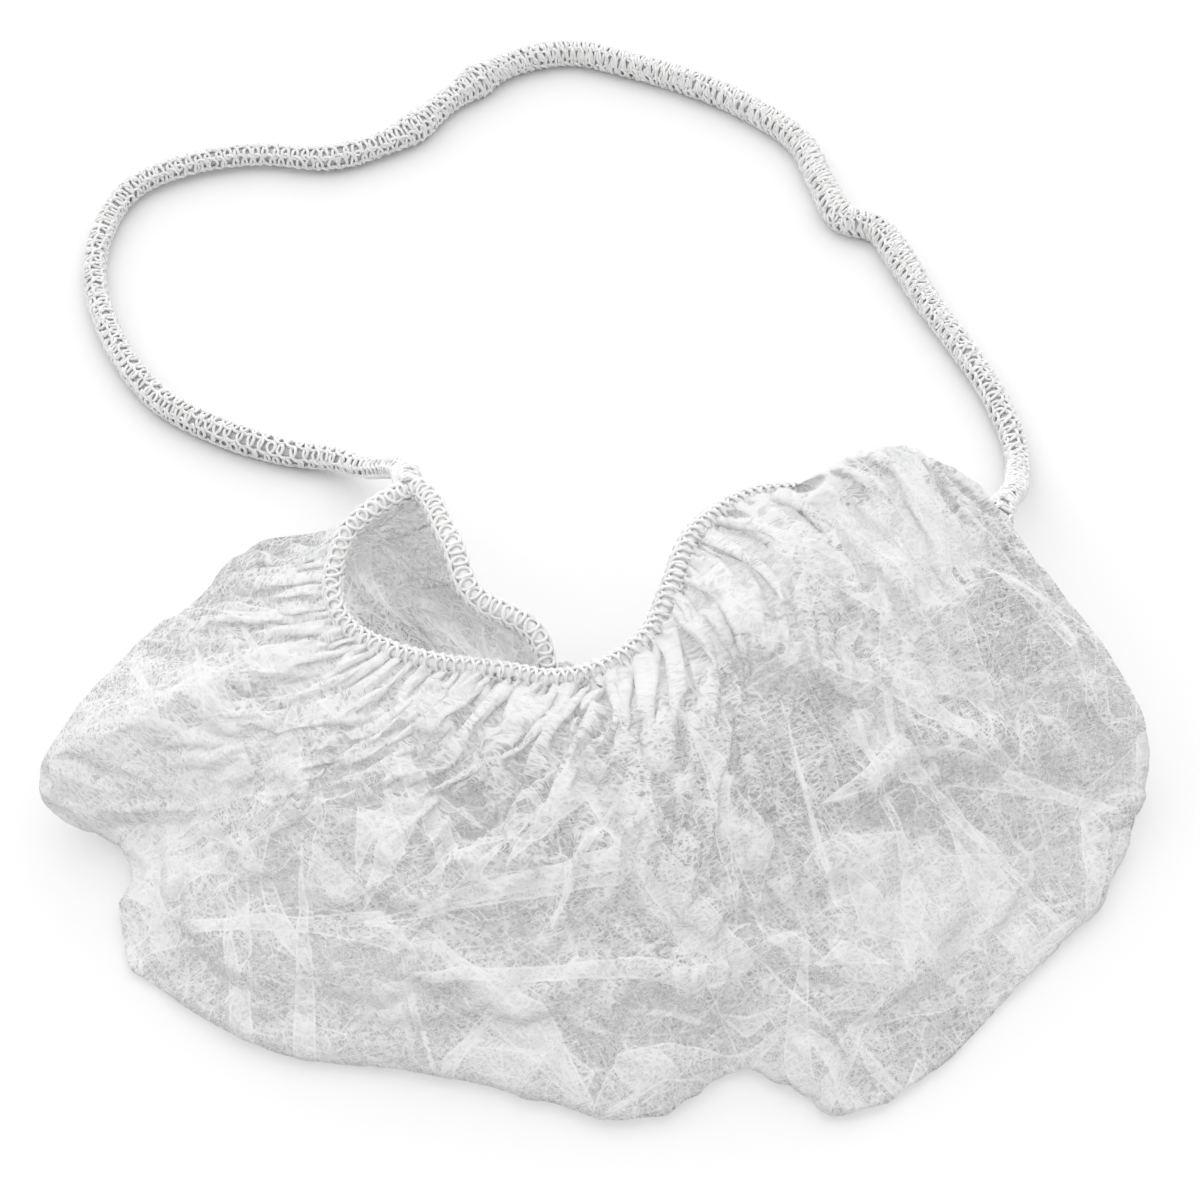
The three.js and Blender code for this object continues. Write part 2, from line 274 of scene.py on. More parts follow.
def lengths_along(points, closed=False):
    """Distance along a polyline up to each point, and its whole length."""
    ends = np.roll(points, -1, axis=0) if closed else points[1:]
    steps = np.linalg.norm(ends - points[: len(ends)], axis=1)
    sums = np.concatenate([[0], np.cumsum(steps)])
    return sums[: len(points)], sums[-1]


def even_steps(points, count):
    """The same open polyline with points at even steps along it."""
    along, total = lengths_along(points)
    marks = np.linspace(0, total, count)
    return np.stack([np.interp(marks, along, points[:, axis]) for axis in range(3)], 1)


def look_at(looks, key, share):
    """One of the looks' values at so much of the way along."""
    return np.interp(share, [look["at"] for look in looks], [look[key] for look in looks])


def section_rings():
    """The rings of named points that the wall is drawn through, in metres."""
    rings = {name: [] for name in ("rim", "puff", "crown", "girth", "foot")}
    centre = np.array(BASE_CENTRE, float)
    for section in SECTIONS:
        puff, girth = np.array(section["puff"], float), np.array(section["girth"], float)
        crown = (puff + girth) / 2 + (0, 0, section["crown"])
        inward = unit((centre - girth) * (1, 1, 0))
        foot = (girth + inward * (TUCK_LEAST + TUCK_SHARE * girth[2])) * (1, 1, 0)
        for name, point in zip(rings, (section["rim"], puff, crown, girth, foot)):
            rings[name].append(point)
    return [np.array(ring, float) * MM for ring in rings.values()]


# ---- Pieces: common ----
def on_body(slot, *pieces):
    """Puts pieces on the cover's one body; slot is not used."""
    for piece in pieces:
        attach(piece, BODY)


def linked_object(name, mesh):
    """A new object for the mesh, in the scene."""
    made = bpy.data.objects.new(name, mesh)
    bpy.context.scene.collection.objects.link(made)
    return made


def mesh_object(name, points, faces, material, smooth=True):
    """A new object with one material."""
    mesh = bpy.data.meshes.new(name)
    mesh.from_pydata([tuple(p) for p in points], [], [tuple(f) for f in faces])
    mesh.materials.append(material)
    if smooth:
        mesh.polygons.foreach_set("use_smooth", [True] * len(mesh.polygons))
    mesh.update()
    return linked_object(name, mesh)


def grid_faces(columns, rows):
    """Quads of a grid of points stored column by column, which goes round to its first column."""
    column, row = np.meshgrid(np.arange(columns), np.arange(rows - 1), indexing="ij")
    after = (column + 1) % columns
    quads = [column * rows + row, column * rows + row + 1, after * rows + row + 1, after * rows + row]
    return np.stack([q.ravel() for q in quads], 1)


# ---- Materials ----
def new_material(name):
    """A new material without nodes, and its node tree."""
    material = bpy.data.materials.new(name)
    material.use_nodes = True
    material.node_tree.nodes.clear()
    return material, material.node_tree


def shader_group(name, inputs, outputs):
    """A new shader node group and what it is given. inputs maps a name to a number's default, or to
    None for a vector, and each output is a number."""
    group = bpy.data.node_groups.new(name, "ShaderNodeTree")
    for label, default in inputs.items():
        kind = "NodeSocketVector" if default is None else "NodeSocketFloat"
        socket = group.interface.new_socket(name=label, in_out="INPUT", socket_type=kind)
        if default is not None:
            socket.default_value = default
    for label in outputs:
        group.interface.new_socket(name=label, in_out="OUTPUT", socket_type="NodeSocketFloat")
    return group, group.nodes.new("NodeGroupInput").outputs


def finished_group(group, results):
    """The group, with its results led out."""
    out = group.nodes.new("NodeGroupOutput")
    for label, value in results.items():
        group.links.new(value, out.inputs[label])
    return group


def flat_noise(tree, vector, scale, detail):
    """Three smooth noises on a flat pattern, as the parts of a colour."""
    return add_node(
        tree, "ShaderNodeTexNoise", {"Vector": vector, "Scale": scale, "Detail": detail},
        noise_dimensions="2D").outputs["Color"]


def parts_of(tree, vector):
    """The x, y and z of a vector."""
    return add_node(tree, "ShaderNodeSeparateXYZ", {"Vector": vector}).outputs


def fibre_web_group():
    """Shader group: curly fibres on a flat pattern in millimetres, three sets that cross each other.
    Lines is 1 in the middle of a fibre."""
    group, given = shader_group("fibre web", {"Vector": None, "Curl": 2.0, "Thread": 0.03}, ["Lines"])
    noise = flat_noise(group, given["Vector"], maths(group, "DIVIDE", 1.0, given["Curl"]), 0.0)
    away = vector_maths(group, "ABSOLUTE", vector_maths(group, "SUBTRACT", noise, (0.5, 0.5, 0.5)))
    nearest = chained(group, "MINIMUM", list(parts_of(group, away)))
    return finished_group(group, {"Lines": ramp(group, nearest, 0.0, given["Thread"], 1.0, 0.0)})


def fibre_whorls_group():
    """Shader group: the curls that the short fibres lie in, on a flat pattern in millimetres. First and
    Second are two sets of waves, 1 in the middle of a fibre and -1 in the middle of a pore."""
    group, given = shader_group(
        "fibre whorls", {"Vector": None, "Size": 3.0, "Turns": 40.0}, ["First", "Second"])
    noise = flat_noise(group, given["Vector"], maths(group, "DIVIDE", 1.0, given["Size"]), 1.0)
    waves = [maths(group, "SINE", maths(group, "MULTIPLY", part, given["Turns"]))
             for part in parts_of(group, noise)[:2]]
    return finished_group(group, {"First": waves[0], "Second": waves[1]})


def creased_panels_group():
    """Shader group: the flat panels that the cloth is creased into, on a flat pattern in millimetres.
    Panel is a value from 0 to 1 for each, and Crease is 1 on the lines between them."""
    group, given = shader_group(
        "creased panels", {"Vector": None, "Size": 30.0, "Crease Width": 0.4}, ["Panel", "Crease"])
    cells = {"Vector": given["Vector"], "Scale": maths(group, "DIVIDE", 1.0, given["Size"])}
    panel = add_node(group, "ShaderNodeTexVoronoi", cells, voronoi_dimensions="2D", feature="F1")
    between = add_node(
        group, "ShaderNodeTexVoronoi", cells, voronoi_dimensions="2D", feature="DISTANCE_TO_EDGE")
    away = maths(group, "MULTIPLY", between.outputs["Distance"], given["Size"])
    crease = ramp(group, away, 0.0, given["Crease Width"], 1.0, 0.0)
    return finished_group(group, {"Panel": parts_of(group, panel.outputs["Color"])[0], "Crease": crease})


def grouped(tree, group, inputs):
    """A shader group's outputs, with its inputs set."""
    return add_node(tree, "ShaderNodeGroup", inputs, node_tree=group).outputs


def stretched(tree, vector, look):
    """The flat pattern shifted and turned, and pulled so many times longer along one way."""
    mapping = add_node(
        tree, "ShaderNodeMapping",
        {"Vector": vector, "Location": (look["shift"], look["shift"], 0),
         "Rotation": (0, 0, look["turn"]), "Scale": (look["times"], 1, 1)},
        vector_type="TEXTURE")
    return mapping.outputs["Vector"]


def doubled_layers(tree):
    """How many more layers lie at a place, from 0 to 1, and the bright lines at their folded edges."""
    depths = add_node(tree, "ShaderNodeAttribute", attribute_name="doubled").outputs["Vector"]
    layers, edges = [], []
    for depth in parts_of(tree, depths):
        blend, dense = FOLDED_EDGE["blend"], FOLDED_EDGE["dense"]
        layers.append(ramp(tree, depth, -blend, blend, 0.0, dense, smooth=False))
        away = maths(tree, "ABSOLUTE", maths(tree, "SUBTRACT", depth, FOLDED_EDGE["inset"]))
        edges.append(ramp(tree, away, 0.0, FOLDED_EDGE["wide"], 1.0, 0.0))
    return maths(tree, "MINIMUM", chained(tree, "ADD", layers), 1.0), chained(tree, "MAXIMUM", edges)


def over(tree, cover, amount, share):
    """The cover with another layer over it, which fills a share of what was open."""
    filled = maths(tree, "MULTIPLY", amount, share)
    return maths(tree, "MULTIPLY_ADD", filled, maths(tree, "SUBTRACT", 1.0, cover), cover)


# ---- Looks of the web, on a flat pattern in millimetres ----
# Curls of short fibres. The close ones lie a little lower than the wide ones.
WIDE_CURLS = {"Size": 3.6, "Turns": 27.0}
CLOSE_CURLS = {"Size": 2.2, "Turns": 16.0}
CLOSE_LOWER = 0.15
# Long fibres, and the panels that the web is creased into: how their patterns are shifted, turned and
# stretched. doubled: from which to which panel value it turns double, and how dense it is then.
# patches: which cloud its creases show in, and from which to which value of it.
LONG_FIBRES = [
    {"shift": 11, "turn": 0.5, "times": 5.0, "curl": 6.0, "thread": 0.020},
    {"shift": 59, "turn": 2.1, "times": 4.0, "curl": 8.0, "thread": 0.016},
]
PANELS = [
    {"shift": 23, "turn": 0.7, "times": 2.0, "size": 19.0, "crease": 0.40,
     "doubled": (0.5, 0.75, 0.6), "patches": (1, 0.3, 0.5)},
    {"shift": 71, "turn": 2.2, "times": 4.5, "size": 6.5, "crease": 0.35,
     "doubled": (0.6, 0.8, 0.5), "patches": (2, 0.45, 0.6)},
]
CLOUD_SIZE = 14.0
CLOUD_BEND = 5.0  # how far the clouds bend the panels
MAT_FROM = (0.1, 1.0)  # the waves' values between which the mat goes from open to closed
CLOUDY = (0.35, 0.65)  # the clouds' values between which the web's least cover grows
BARE_COVER = (0.06, 0.20)
FOLDED_EDGE = {"blend": 0.1, "dense": 0.6, "inset": 0.2, "wide": 0.35}
MOST_LAYERS = 1.2
# How much of what is still open each thing closes, and how the web whitens where more lies together. Where
# the web is bare, and between the mat's fibres, it is drawn grey: the fibres' pattern is the web's own, and
# the grey paints the shade of the dim inside seen through the open web.
COVERED = {
    "least": 0.05, "mat": 0.5, "bunched": 0.5, "layers": 0.75, "fibres": 0.5, "creases": 0.85, "slant": 0.8,
    "inside": 0.55,
}
WHITENED = {"least": 0.15, "bare": 0.3, "mat": 0.46, "bunched": 0.2, "layers": 0.62, "creases": 0.7}
SHINES_THROUGH = 0.42  # the share of light that goes on through the fibres
SCATTERED_PASSES = 0.62  # the share of light scattered elsewhere that finds its way past them
FIBRE_HEIGHT = 0.15
LIES_FLAT = 0.5  # how far the web is lit as if it lay flat, because it glows all through


def web_pattern(tree, inside):
    """The flat pattern that the web is drawn on: laid out for the outer faces, unrolled for the inner."""
    outer = add_node(tree, "ShaderNodeUVMap", uv_map="laid").outputs["UV"]
    inner = add_node(tree, "ShaderNodeUVMap", uv_map="unrolled").outputs["UV"]
    outer = vector_maths(tree, "SCALE", outer, scale=maths(tree, "SUBTRACT", 1.0, inside))
    inner = vector_maths(tree, "SCALE", inner, scale=inside)
    return vector_maths(tree, "SCALE", vector_maths(tree, "ADD", outer, inner), scale=1 / MM)


def web_fibres(tree, flat):
    """How densely the short fibres lie, and the lines of the long ones, both from 0 to 1."""
    curls, fibres = fibre_whorls_group(), fibre_web_group()
    wide = grouped(tree, curls, {"Vector": flat, **WIDE_CURLS})
    close = grouped(tree, curls, {"Vector": flat, **CLOSE_CURLS})
    waves = [wide["First"], wide["Second"], maths(tree, "SUBTRACT", close["First"], CLOSE_LOWER)]
    mat = ramp(tree, chained(tree, "MAXIMUM", waves), *MAT_FROM, smooth=False)
    lines = []
    for look in LONG_FIBRES:
        inputs = {"Vector": stretched(tree, flat, look), "Curl": look["curl"], "Thread": look["thread"]}
        lines.append(grouped(tree, fibres, inputs)["Lines"])
    return mat, chained(tree, "MAXIMUM", lines)


def web_panels(tree, flat, cloud, clouds):
    """How much of the web is doubled by its creased panels, and the lines of the creases."""
    panels = creased_panels_group()
    bent = vector_maths(tree, "ADD", flat, vector_maths(tree, "SCALE", cloud, scale=CLOUD_BEND))
    layers, creases = [], []
    for look in PANELS:
        found = grouped(tree, panels, {
            "Vector": stretched(tree, bent, look), "Size": look["size"], "Crease Width": look["crease"]})
        low, high, dense = look["doubled"]
        layers.append(ramp(tree, found["Panel"], low, high, 0.0, dense, smooth=False))
        part, low, high = look["patches"]
        creases.append(maths(tree, "MULTIPLY", found["Crease"], ramp(tree, clouds[part], low, high)))
    return chained(tree, "ADD", layers), chained(tree, "MAXIMUM", creases)


def nonwoven_material(options):
    """Thin white web of bonded fibres, open between them, closed up where it is gathered."""
    material, tree = new_material("nonwoven")
    geometry = add_node(tree, "ShaderNodeNewGeometry").outputs
    flat = web_pattern(tree, geometry["Backfacing"])
    mat, long_lines = web_fibres(tree, flat)
    cloud = flat_noise(tree, flat, 1 / CLOUD_SIZE, 2.0)
    clouds = parts_of(tree, cloud)
    panel_layers, creases = web_panels(tree, flat, cloud, clouds)
    strips, edges = doubled_layers(tree)
    layers = maths(tree, "MINIMUM", maths(tree, "ADD", strips, panel_layers), MOST_LAYERS)
    # gather holds how bunched the web is, with painted shade behind the mouth, and painted light and shade
    # on the gathers' ridges and valleys.
    bunched = add_node(tree, "ShaderNodeAttribute", attribute_name="gather").outputs["Fac"]
    slanting = add_node(tree, "ShaderNodeLayerWeight", {"Blend": 0.5}).outputs["Facing"]
    sharp = maths(tree, "MAXIMUM", creases, edges)
    bare = ramp(tree, clouds[0], *CLOUDY, *BARE_COVER)
    cover = maths(tree, "MULTIPLY_ADD", mat, COVERED["mat"], bare)
    cover = maths(tree, "MULTIPLY_ADD", bunched, COVERED["bunched"], cover)
    cover = maths(tree, "MINIMUM", maths(tree, "MAXIMUM", cover, COVERED["least"]), 1.0)
    lying_over = {
        "layers": layers, "fibres": long_lines, "creases": sharp,
        "slant": maths(tree, "POWER", slanting, 2.5), "inside": geometry["Backfacing"],
    }
    for name, amount in lying_over.items():
        cover = over(tree, cover, amount, COVERED[name])
    facing = vector_maths(tree, "SCALE", geometry["Normal"], scale=1 - LIES_FLAT)
    facing = vector_maths(tree, "ADD", facing, (0.0, 0.0, LIES_FLAT))
    bump = add_node(
        tree, "ShaderNodeBump",
        {"Strength": 0.5, "Distance": FIBRE_HEIGHT * MM, "Normal": vector_maths(tree, "NORMALIZE", facing),
         "Height": chained(tree, "ADD", [mat, long_lines, creases])}).outputs[0]
    # Painted shade: the bare web and the gaps of the mat are drawn grey for the dim inside seen through
    # them; the layers over them whiten it again.
    white = maths(tree, "MULTIPLY_ADD", mat, WHITENED["mat"], WHITENED["bare"])
    white = maths(tree, "MULTIPLY_ADD", bunched, WHITENED["bunched"], white)
    white = maths(tree, "MAXIMUM", white, WHITENED["least"])
    white = over(tree, white, maths(tree, "MAXIMUM", layers, bunched), WHITENED["layers"])
    white = over(tree, white, maths(tree, "MAXIMUM", sharp, long_lines), WHITENED["creases"])
    tint = vector_maths(tree, "SCALE", tuple(options.colour), scale=white)
    body = add_node(
        tree, "ShaderNodeBsdfPrincipled", {"Base Color": tint, "Roughness": 0.75, "Normal": bump})
    through = add_node(tree, "ShaderNodeBsdfTranslucent", {"Color": tint, "Normal": bump})
    cloth = add_node(
        tree, "ShaderNodeMixShader", {0: SHINES_THROUGH, 1: body.outputs[0], 2: through.outputs[0]})
    scattered = add_node(tree, "ShaderNodeLightPath").outputs["Is Diffuse Ray"]
    thinned = maths(tree, "MULTIPLY_ADD", scattered, -SCATTERED_PASSES, 1.0)
    cover = maths(tree, "MULTIPLY", cover, thinned)
    gap = add_node(tree, "ShaderNodeBsdfTransparent")
    mixed = add_node(tree, "ShaderNodeMixShader", {0: cover, 1: gap.outputs[0], 2: cloth.outputs[0]})
    add_node(tree, "ShaderNodeOutputMaterial", {"Surface": mixed.outputs[0]})
    return material


def fuzz_group():
    """Shader group: the fine fuzz of spun yarn, as a tint and a height."""
    group, given = shader_group("yarn fuzz", {"Scale": 1.0}, ["Tint", "Height"])
    place = add_node(group, "ShaderNodeTexCoord").outputs["Object"]
    place = vector_maths(group, "SCALE", place, scale=1 / MM)
    place = vector_maths(group, "SCALE", place, scale=given["Scale"])
    noises = []
    for scale, detail in ((2.6, 3.0), (0.3, 1.0)):
        noise = add_node(group, "ShaderNodeTexNoise", {"Vector": place, "Scale": scale, "Detail": detail})
        noises.append(noise.outputs["Fac"])
    fuzz, blotch = noises
    tint = maths(
        group, "ADD", ramp(group, fuzz, 0.3, 0.7, 0.93, 1.0), ramp(group, blotch, 0.3, 0.7, -0.04, 0.0))
    return finished_group(group, {"Tint": tint, "Height": fuzz})


def yarn_material(name, colour, group, scale, roughness):
    """Spun yarn or covered elastic, with its fuzz."""
    tree = new_material(name)[1]
    fuzz = grouped(tree, group, {"Scale": scale})
    tint = vector_maths(tree, "SCALE", tuple(colour), scale=fuzz["Tint"])
    bump = add_node(
        tree, "ShaderNodeBump", {"Strength": 0.5, "Distance": 0.12 * MM, "Height": fuzz["Height"]})
    body = add_node(
        tree, "ShaderNodeBsdfPrincipled",
        {"Base Color": tint, "Roughness": roughness, "Subsurface Weight": 0.25,
         "Subsurface Scale": 0.6 * MM, "Subsurface Radius": (1, 1, 1), "Sheen Weight": 0.2,
         "Normal": bump.outputs[0]})
    add_node(tree, "ShaderNodeOutputMaterial", {"Surface": body.outputs[0]})


def elastic_materials(options):
    """The materials of the elastic core, the cloth inside the edge and the stitches, made once."""
    names = ("elastic core", "gathered hem", "stitching thread")
    if names[0] not in bpy.data.materials:
        group = fuzz_group()
        # The core's grey is painted shade for the gaps between the loops.
        colours = (options.shaded_core_colour, options.hem_colour, options.thread_colour)
        for name, colour, scale, roughness in zip(names, colours, (1.0, 1.0, 1.6), (0.8, 0.8, 0.7)):
            yarn_material(name, colour, group, scale, roughness)
    return [bpy.data.materials[name] for name in names]


# ---- Stitches: looped thread by Geometry Nodes ----
STRAND_LAG = 0.38  # how much later than the last strand each one loops, in turns
STRAND_APART = 3.7  # how far apart the strands' and the seeds' own parts of the noise are
SEED_APART = 7.31
RIDES_OVER = 0.5  # how much of the thread's radius one loop rises over the next
# How the thread wanders in its turn, its reach, its sweep and its angle: how many waves there are for
# each loop, how strong they are, and how far apart their parts of the noise lie.
WANDERS = {
    "turn": {"waves": 0.45, "strong": 1.2, "apart": 0.0},
    "reach": {"waves": 0.9, "strong": 1.6, "apart": 5.0},
    "sweep": {"waves": 0.7, "strong": 1.0, "apart": 11.0},
    "angle": {"waves": 0.12, "strong": 1.0, "apart": 17.0},
}
LOOP_INPUTS = (
    ("Geometry", "NodeSocketGeometry", None), ("Strands", "NodeSocketInt", 4),
    ("Points", "NodeSocketInt", 500), ("Reach", "NodeSocketFloat", 0.001),
    ("Sweep", "NodeSocketFloat", 0.5), ("Wrap Sweep", "NodeSocketFloat", 1.5),
    ("Start Angle", "NodeSocketFloat", 0.0), ("Spread", "NodeSocketFloat", 2 * math.pi),
    ("Lift", "NodeSocketFloat", 0.0002), ("Thread Radius", "NodeSocketFloat", 0.00035),
    ("Wander", "NodeSocketFloat", 0.3), ("Sides", "NodeSocketInt", 4),
    ("Seed", "NodeSocketInt", 1), ("Material", "NodeSocketMaterial", None),
)


def thread_noise(tree, given, key, wander):
    """How far a strand wanders at each point, in one of the ways of WANDERS."""
    wander = WANDERS[wander]
    turns = add_node(tree, "GeometryNodeInputNamedAttribute", {"Name": "turns"}, data_type="FLOAT")
    along = maths(tree, "MULTIPLY", turns.outputs["Attribute"], wander["waves"])
    across = maths(tree, "ADD", key, wander["apart"])
    place = add_node(tree, "ShaderNodeCombineXYZ", {"X": along, "Y": across})
    found = add_node(
        tree, "ShaderNodeTexNoise", {"Vector": place.outputs[0], "Scale": 1.0, "Detail": 0.0},
        noise_dimensions="2D").outputs["Fac"]
    found = maths(tree, "MULTIPLY", maths(tree, "SUBTRACT", found, 0.5), given["Wander"])
    return maths(tree, "MULTIPLY", found, wander["strong"])


def looped_thread_tree():
    """Geometry Nodes: strands of thread that loop along a path and lie on its round section. The path
    is a line of edges whose points hold side (which way angle 0 is), turns (how many loops come before
    the point), wrap (0 for round loops, 1 for wraps across) and thick (the section's radius)."""
    tree = bpy.data.node_groups.new("looped thread", "GeometryNodeTree")
    for name, kind, default in LOOP_INPUTS:
        socket = tree.interface.new_socket(name=name, in_out="INPUT", socket_type=kind)
        if default is not None:
            socket.default_value = default
    tree.interface.new_socket(name="Geometry", in_out="OUTPUT", socket_type="NodeSocketGeometry")
    given = tree.nodes.new("NodeGroupInput").outputs

    def field(name, kind="FLOAT"):
        return add_node(
            tree, "GeometryNodeInputNamedAttribute", {"Name": name}, data_type=kind).outputs["Attribute"]

    # Even steps along the path, and a copy of it for each strand.
    path = add_node(tree, "GeometryNodeMeshToCurve", {"Mesh": given["Geometry"]}).outputs["Curve"]
    even = add_node(tree, "GeometryNodeResampleCurve", {"Curve": path, "Count": given["Points"]})
    copies = add_node(
        tree, "GeometryNodeDuplicateElements",
        {"Geometry": even.outputs["Curve"], "Amount": given["Strands"]}, domain="SPLINE")
    strand = add_node(
        tree, "GeometryNodeStoreNamedAttribute",
        {"Geometry": copies.outputs["Geometry"], "Name": "strand",
         "Value": copies.outputs["Duplicate Index"]}, data_type="FLOAT", domain="POINT")
    number = field("strand")
    along = add_node(tree, "GeometryNodeSplineParameter").outputs["Length"]
    whole = add_node(tree, "GeometryNodeSplineLength").outputs["Length"]
    key = maths(tree, "MULTIPLY", given["Seed"], SEED_APART)
    key = maths(tree, "MULTIPLY_ADD", number, STRAND_APART, key)

    # How far each point of a loop reaches along the path, and its angle round it.
    phase = maths(tree, "MULTIPLY_ADD", number, STRAND_LAG, field("turns"))
    phase = maths(tree, "ADD", phase, thread_noise(tree, given, key, "turn"))
    phase = maths(tree, "MULTIPLY", phase, 2 * math.pi)
    uneven = maths(tree, "ADD", 1.0, thread_noise(tree, given, key, "reach"))
    reach = maths(tree, "MULTIPLY", given["Reach"], uneven)
    place = maths(tree, "SUBTRACT", along, maths(tree, "MULTIPLY", reach, maths(tree, "SINE", phase)))
    place = maths(tree, "MINIMUM", maths(tree, "MAXIMUM", place, 0.0), whole)
    sweep = add_node(
        tree, "ShaderNodeMix", {"Factor": field("wrap"), 2: given["Sweep"], 3: given["Wrap Sweep"]},
        data_type="FLOAT").outputs[0]
    uneven = maths(tree, "ADD", 1.0, thread_noise(tree, given, key, "sweep"))
    sweep = maths(tree, "MULTIPLY", sweep, uneven)
    angle = maths(tree, "MULTIPLY", sweep, maths(tree, "COSINE", phase))
    share = maths(tree, "DIVIDE", maths(tree, "MULTIPLY", number, given["Spread"]), given["Strands"])
    angle = maths(tree, "ADD", angle, maths(tree, "ADD", share, given["Start Angle"]))
    angle = maths(tree, "ADD", angle, thread_noise(tree, given, key, "angle"))

    # The path's middle, direction, side and thickness there.
    def sampled(name, kind="FLOAT"):
        found = add_node(
            tree, "GeometryNodeSampleCurve",
            {"Curves": path, "Value": field(name, kind), "Length": place}, mode="LENGTH", data_type=kind)
        return found.outputs

    middle = sampled("side", "FLOAT_VECTOR")
    side, tangent = middle["Value"], middle["Tangent"]
    along_part = vector_maths(
        tree, "SCALE", tangent, scale=vector_maths(tree, "DOT_PRODUCT", side, tangent))
    side = vector_maths(tree, "NORMALIZE", vector_maths(tree, "SUBTRACT", side, along_part))
    across = vector_maths(tree, "CROSS_PRODUCT", tangent, side)

    # The loops' crossings ride over one another by part of the thread.
    rides = maths(tree, "SINE", maths(tree, "MULTIPLY", phase, 2.0))
    rides = maths(tree, "MULTIPLY", maths(tree, "MULTIPLY", rides, given["Thread Radius"]), RIDES_OVER)
    radius = maths(tree, "ADD", maths(tree, "ADD", sampled("thick")["Value"], given["Lift"]), rides)
    ways = []
    for way, turn in ((side, "COSINE"), (across, "SINE")):
        part = maths(tree, "MULTIPLY", maths(tree, turn, angle), radius)
        ways.append(vector_maths(tree, "SCALE", way, scale=part))
    target = vector_maths(tree, "ADD", middle["Position"], vector_maths(tree, "ADD", *ways))
    moved = add_node(tree, "GeometryNodeSetPosition", {"Geometry": strand.outputs[0], "Position": target})
    section = add_node(
        tree, "GeometryNodeCurvePrimitiveCircle",
        {"Resolution": given["Sides"], "Radius": given["Thread Radius"]}, mode="RADIUS")
    tube = add_node(
        tree, "GeometryNodeCurveToMesh",
        {"Curve": moved.outputs[0], "Profile Curve": section.outputs["Curve"], "Fill Caps": True})
    smooth = add_node(tree, "GeometryNodeSetShadeSmooth", {"Geometry": tube.outputs["Mesh"]})
    real = add_node(tree, "GeometryNodeRealizeInstances", {"Geometry": smooth.outputs["Geometry"]})
    done = add_node(
        tree, "GeometryNodeSetMaterial",
        {"Geometry": real.outputs["Geometry"], "Material": given["Material"]})
    return finished_group(tree, {"Geometry": done.outputs["Geometry"]})


def path_object(name, points, side, turns, wrap, thick):
    """A line of edges that carries what the looped thread reads at each point."""
    mesh = bpy.data.meshes.new(name)
    count = len(points)
    mesh.from_pydata([tuple(p) for p in points], [(i, i + 1) for i in range(count - 1)], [])
    directions = mesh.attributes.new("side", "FLOAT_VECTOR", "POINT")
    directions.data.foreach_set("vector", np.asarray(side, np.float32).ravel())
    for label, values in (("turns", turns), ("wrap", wrap), ("thick", thick)):
        numbers = mesh.attributes.new(label, "FLOAT", "POINT")
        numbers.data.foreach_set("value", np.broadcast_to(values, count).astype(np.float32))
    return linked_object(name, mesh)


def looped_thread(name, path, values):
    """The path's looped thread, as one plain mesh."""
    tree = bpy.data.node_groups.get("looped thread") or looped_thread_tree()
    modifier = path.modifiers.new("looped thread", "NODES")
    modifier.node_group = tree
    sockets = {s.name: s.identifier for s in tree.interface.items_tree if s.in_out == "INPUT"}
    for key, value in values.items():
        modifier[sockets[key]] = value
    bpy.context.view_layer.update()
    evaluated = path.evaluated_get(bpy.context.evaluated_depsgraph_get())
    mesh = bpy.data.meshes.new_from_object(evaluated)
    mesh.name = name
    bpy.data.objects.remove(path)
    return linked_object(name, mesh)


def tube_object(name, points, radii, sides, material, side):
    """A closed tube along an open line of points, with rounded ends."""
    tangents = unit(np.gradient(points, axis=0))
    side = unit(side - (side * tangents).sum(1, keepdims=True) * tangents)
    across = np.cross(tangents, side)
    angles = 2 * np.pi * np.arange(sides) / sides
    rings = (
        points[:, None]
        + radii[:, None, None] * np.cos(angles)[None, :, None] * side[:, None]
        + radii[:, None, None] * np.sin(angles)[None, :, None] * across[:, None]
    )
    count = len(points)
    vertices = np.concatenate([rings.reshape(-1, 3), points[:1], points[-1:]])
    ring, place = np.meshgrid(np.arange(count - 1), np.arange(sides), indexing="ij")
    after = (place + 1) % sides
    quads = np.stack([ring * sides + place, ring * sides + after, (ring + 1) * sides + after,
                      (ring + 1) * sides + place], -1).reshape(-1, 4)
    first, last = count * sides, count * sides + 1
    base = (count - 1) * sides
    caps = [(first, (k + 1) % sides, k) for k in range(sides)]
    caps += [(last, base + k, base + (k + 1) % sides) for k in range(sides)]
    return mesh_object(name, vertices, [*map(tuple, quads), *caps], material)


def loops_before(line, looks):
    """How many loops come before each point of a line, where the loops' pitch changes along it."""
    along, length = lengths_along(line)
    return np.cumsum(np.gradient(along) / (look_at(looks, "pitch", along / length) * MM))


def stitch_round(name, path, options, turns, look):
    """Looped stitches round a core, in strands that follow the path."""
    values = {key: value for key, value in look.items() if key not in ("points", "lift", "thick")}
    values["Points"] = int(turns[-1] * look["points"])
    values["Lift"] = look["lift"] * options.thread
    values["Thread Radius"] = look["thick"] * options.thread
    values["Material"] = elastic_materials(options)[2]
    return looped_thread(name, path, values)


# ---- Operators ----
class BEARDCOVER_OT_stage(bpy.types.Operator):
    """Adds the pale floor, the soft lights and the camera"""

    bl_idname = "beardcover.stage"
    bl_label = "Stage"

    def execute(self, context):
        options = settings().stage
        add_floor(options)
        add_lights()
        add_camera(options)
        return {"FINISHED"}


FLOOR_HALF = 6.0
SKY_TOWARDS = (-0.15, 0.62, 0.77)  # the side of the room that is brightest
SKY_SPREAD = (0.1, 1.0)  # from how far round it brightens, as a cosine
SKY_STRENGTH = (0.78, 1.76)
CAMERA_PLACE = (0, -0.5768, 0.7660)
CAMERA_TARGET = (0, 0.066, 0)


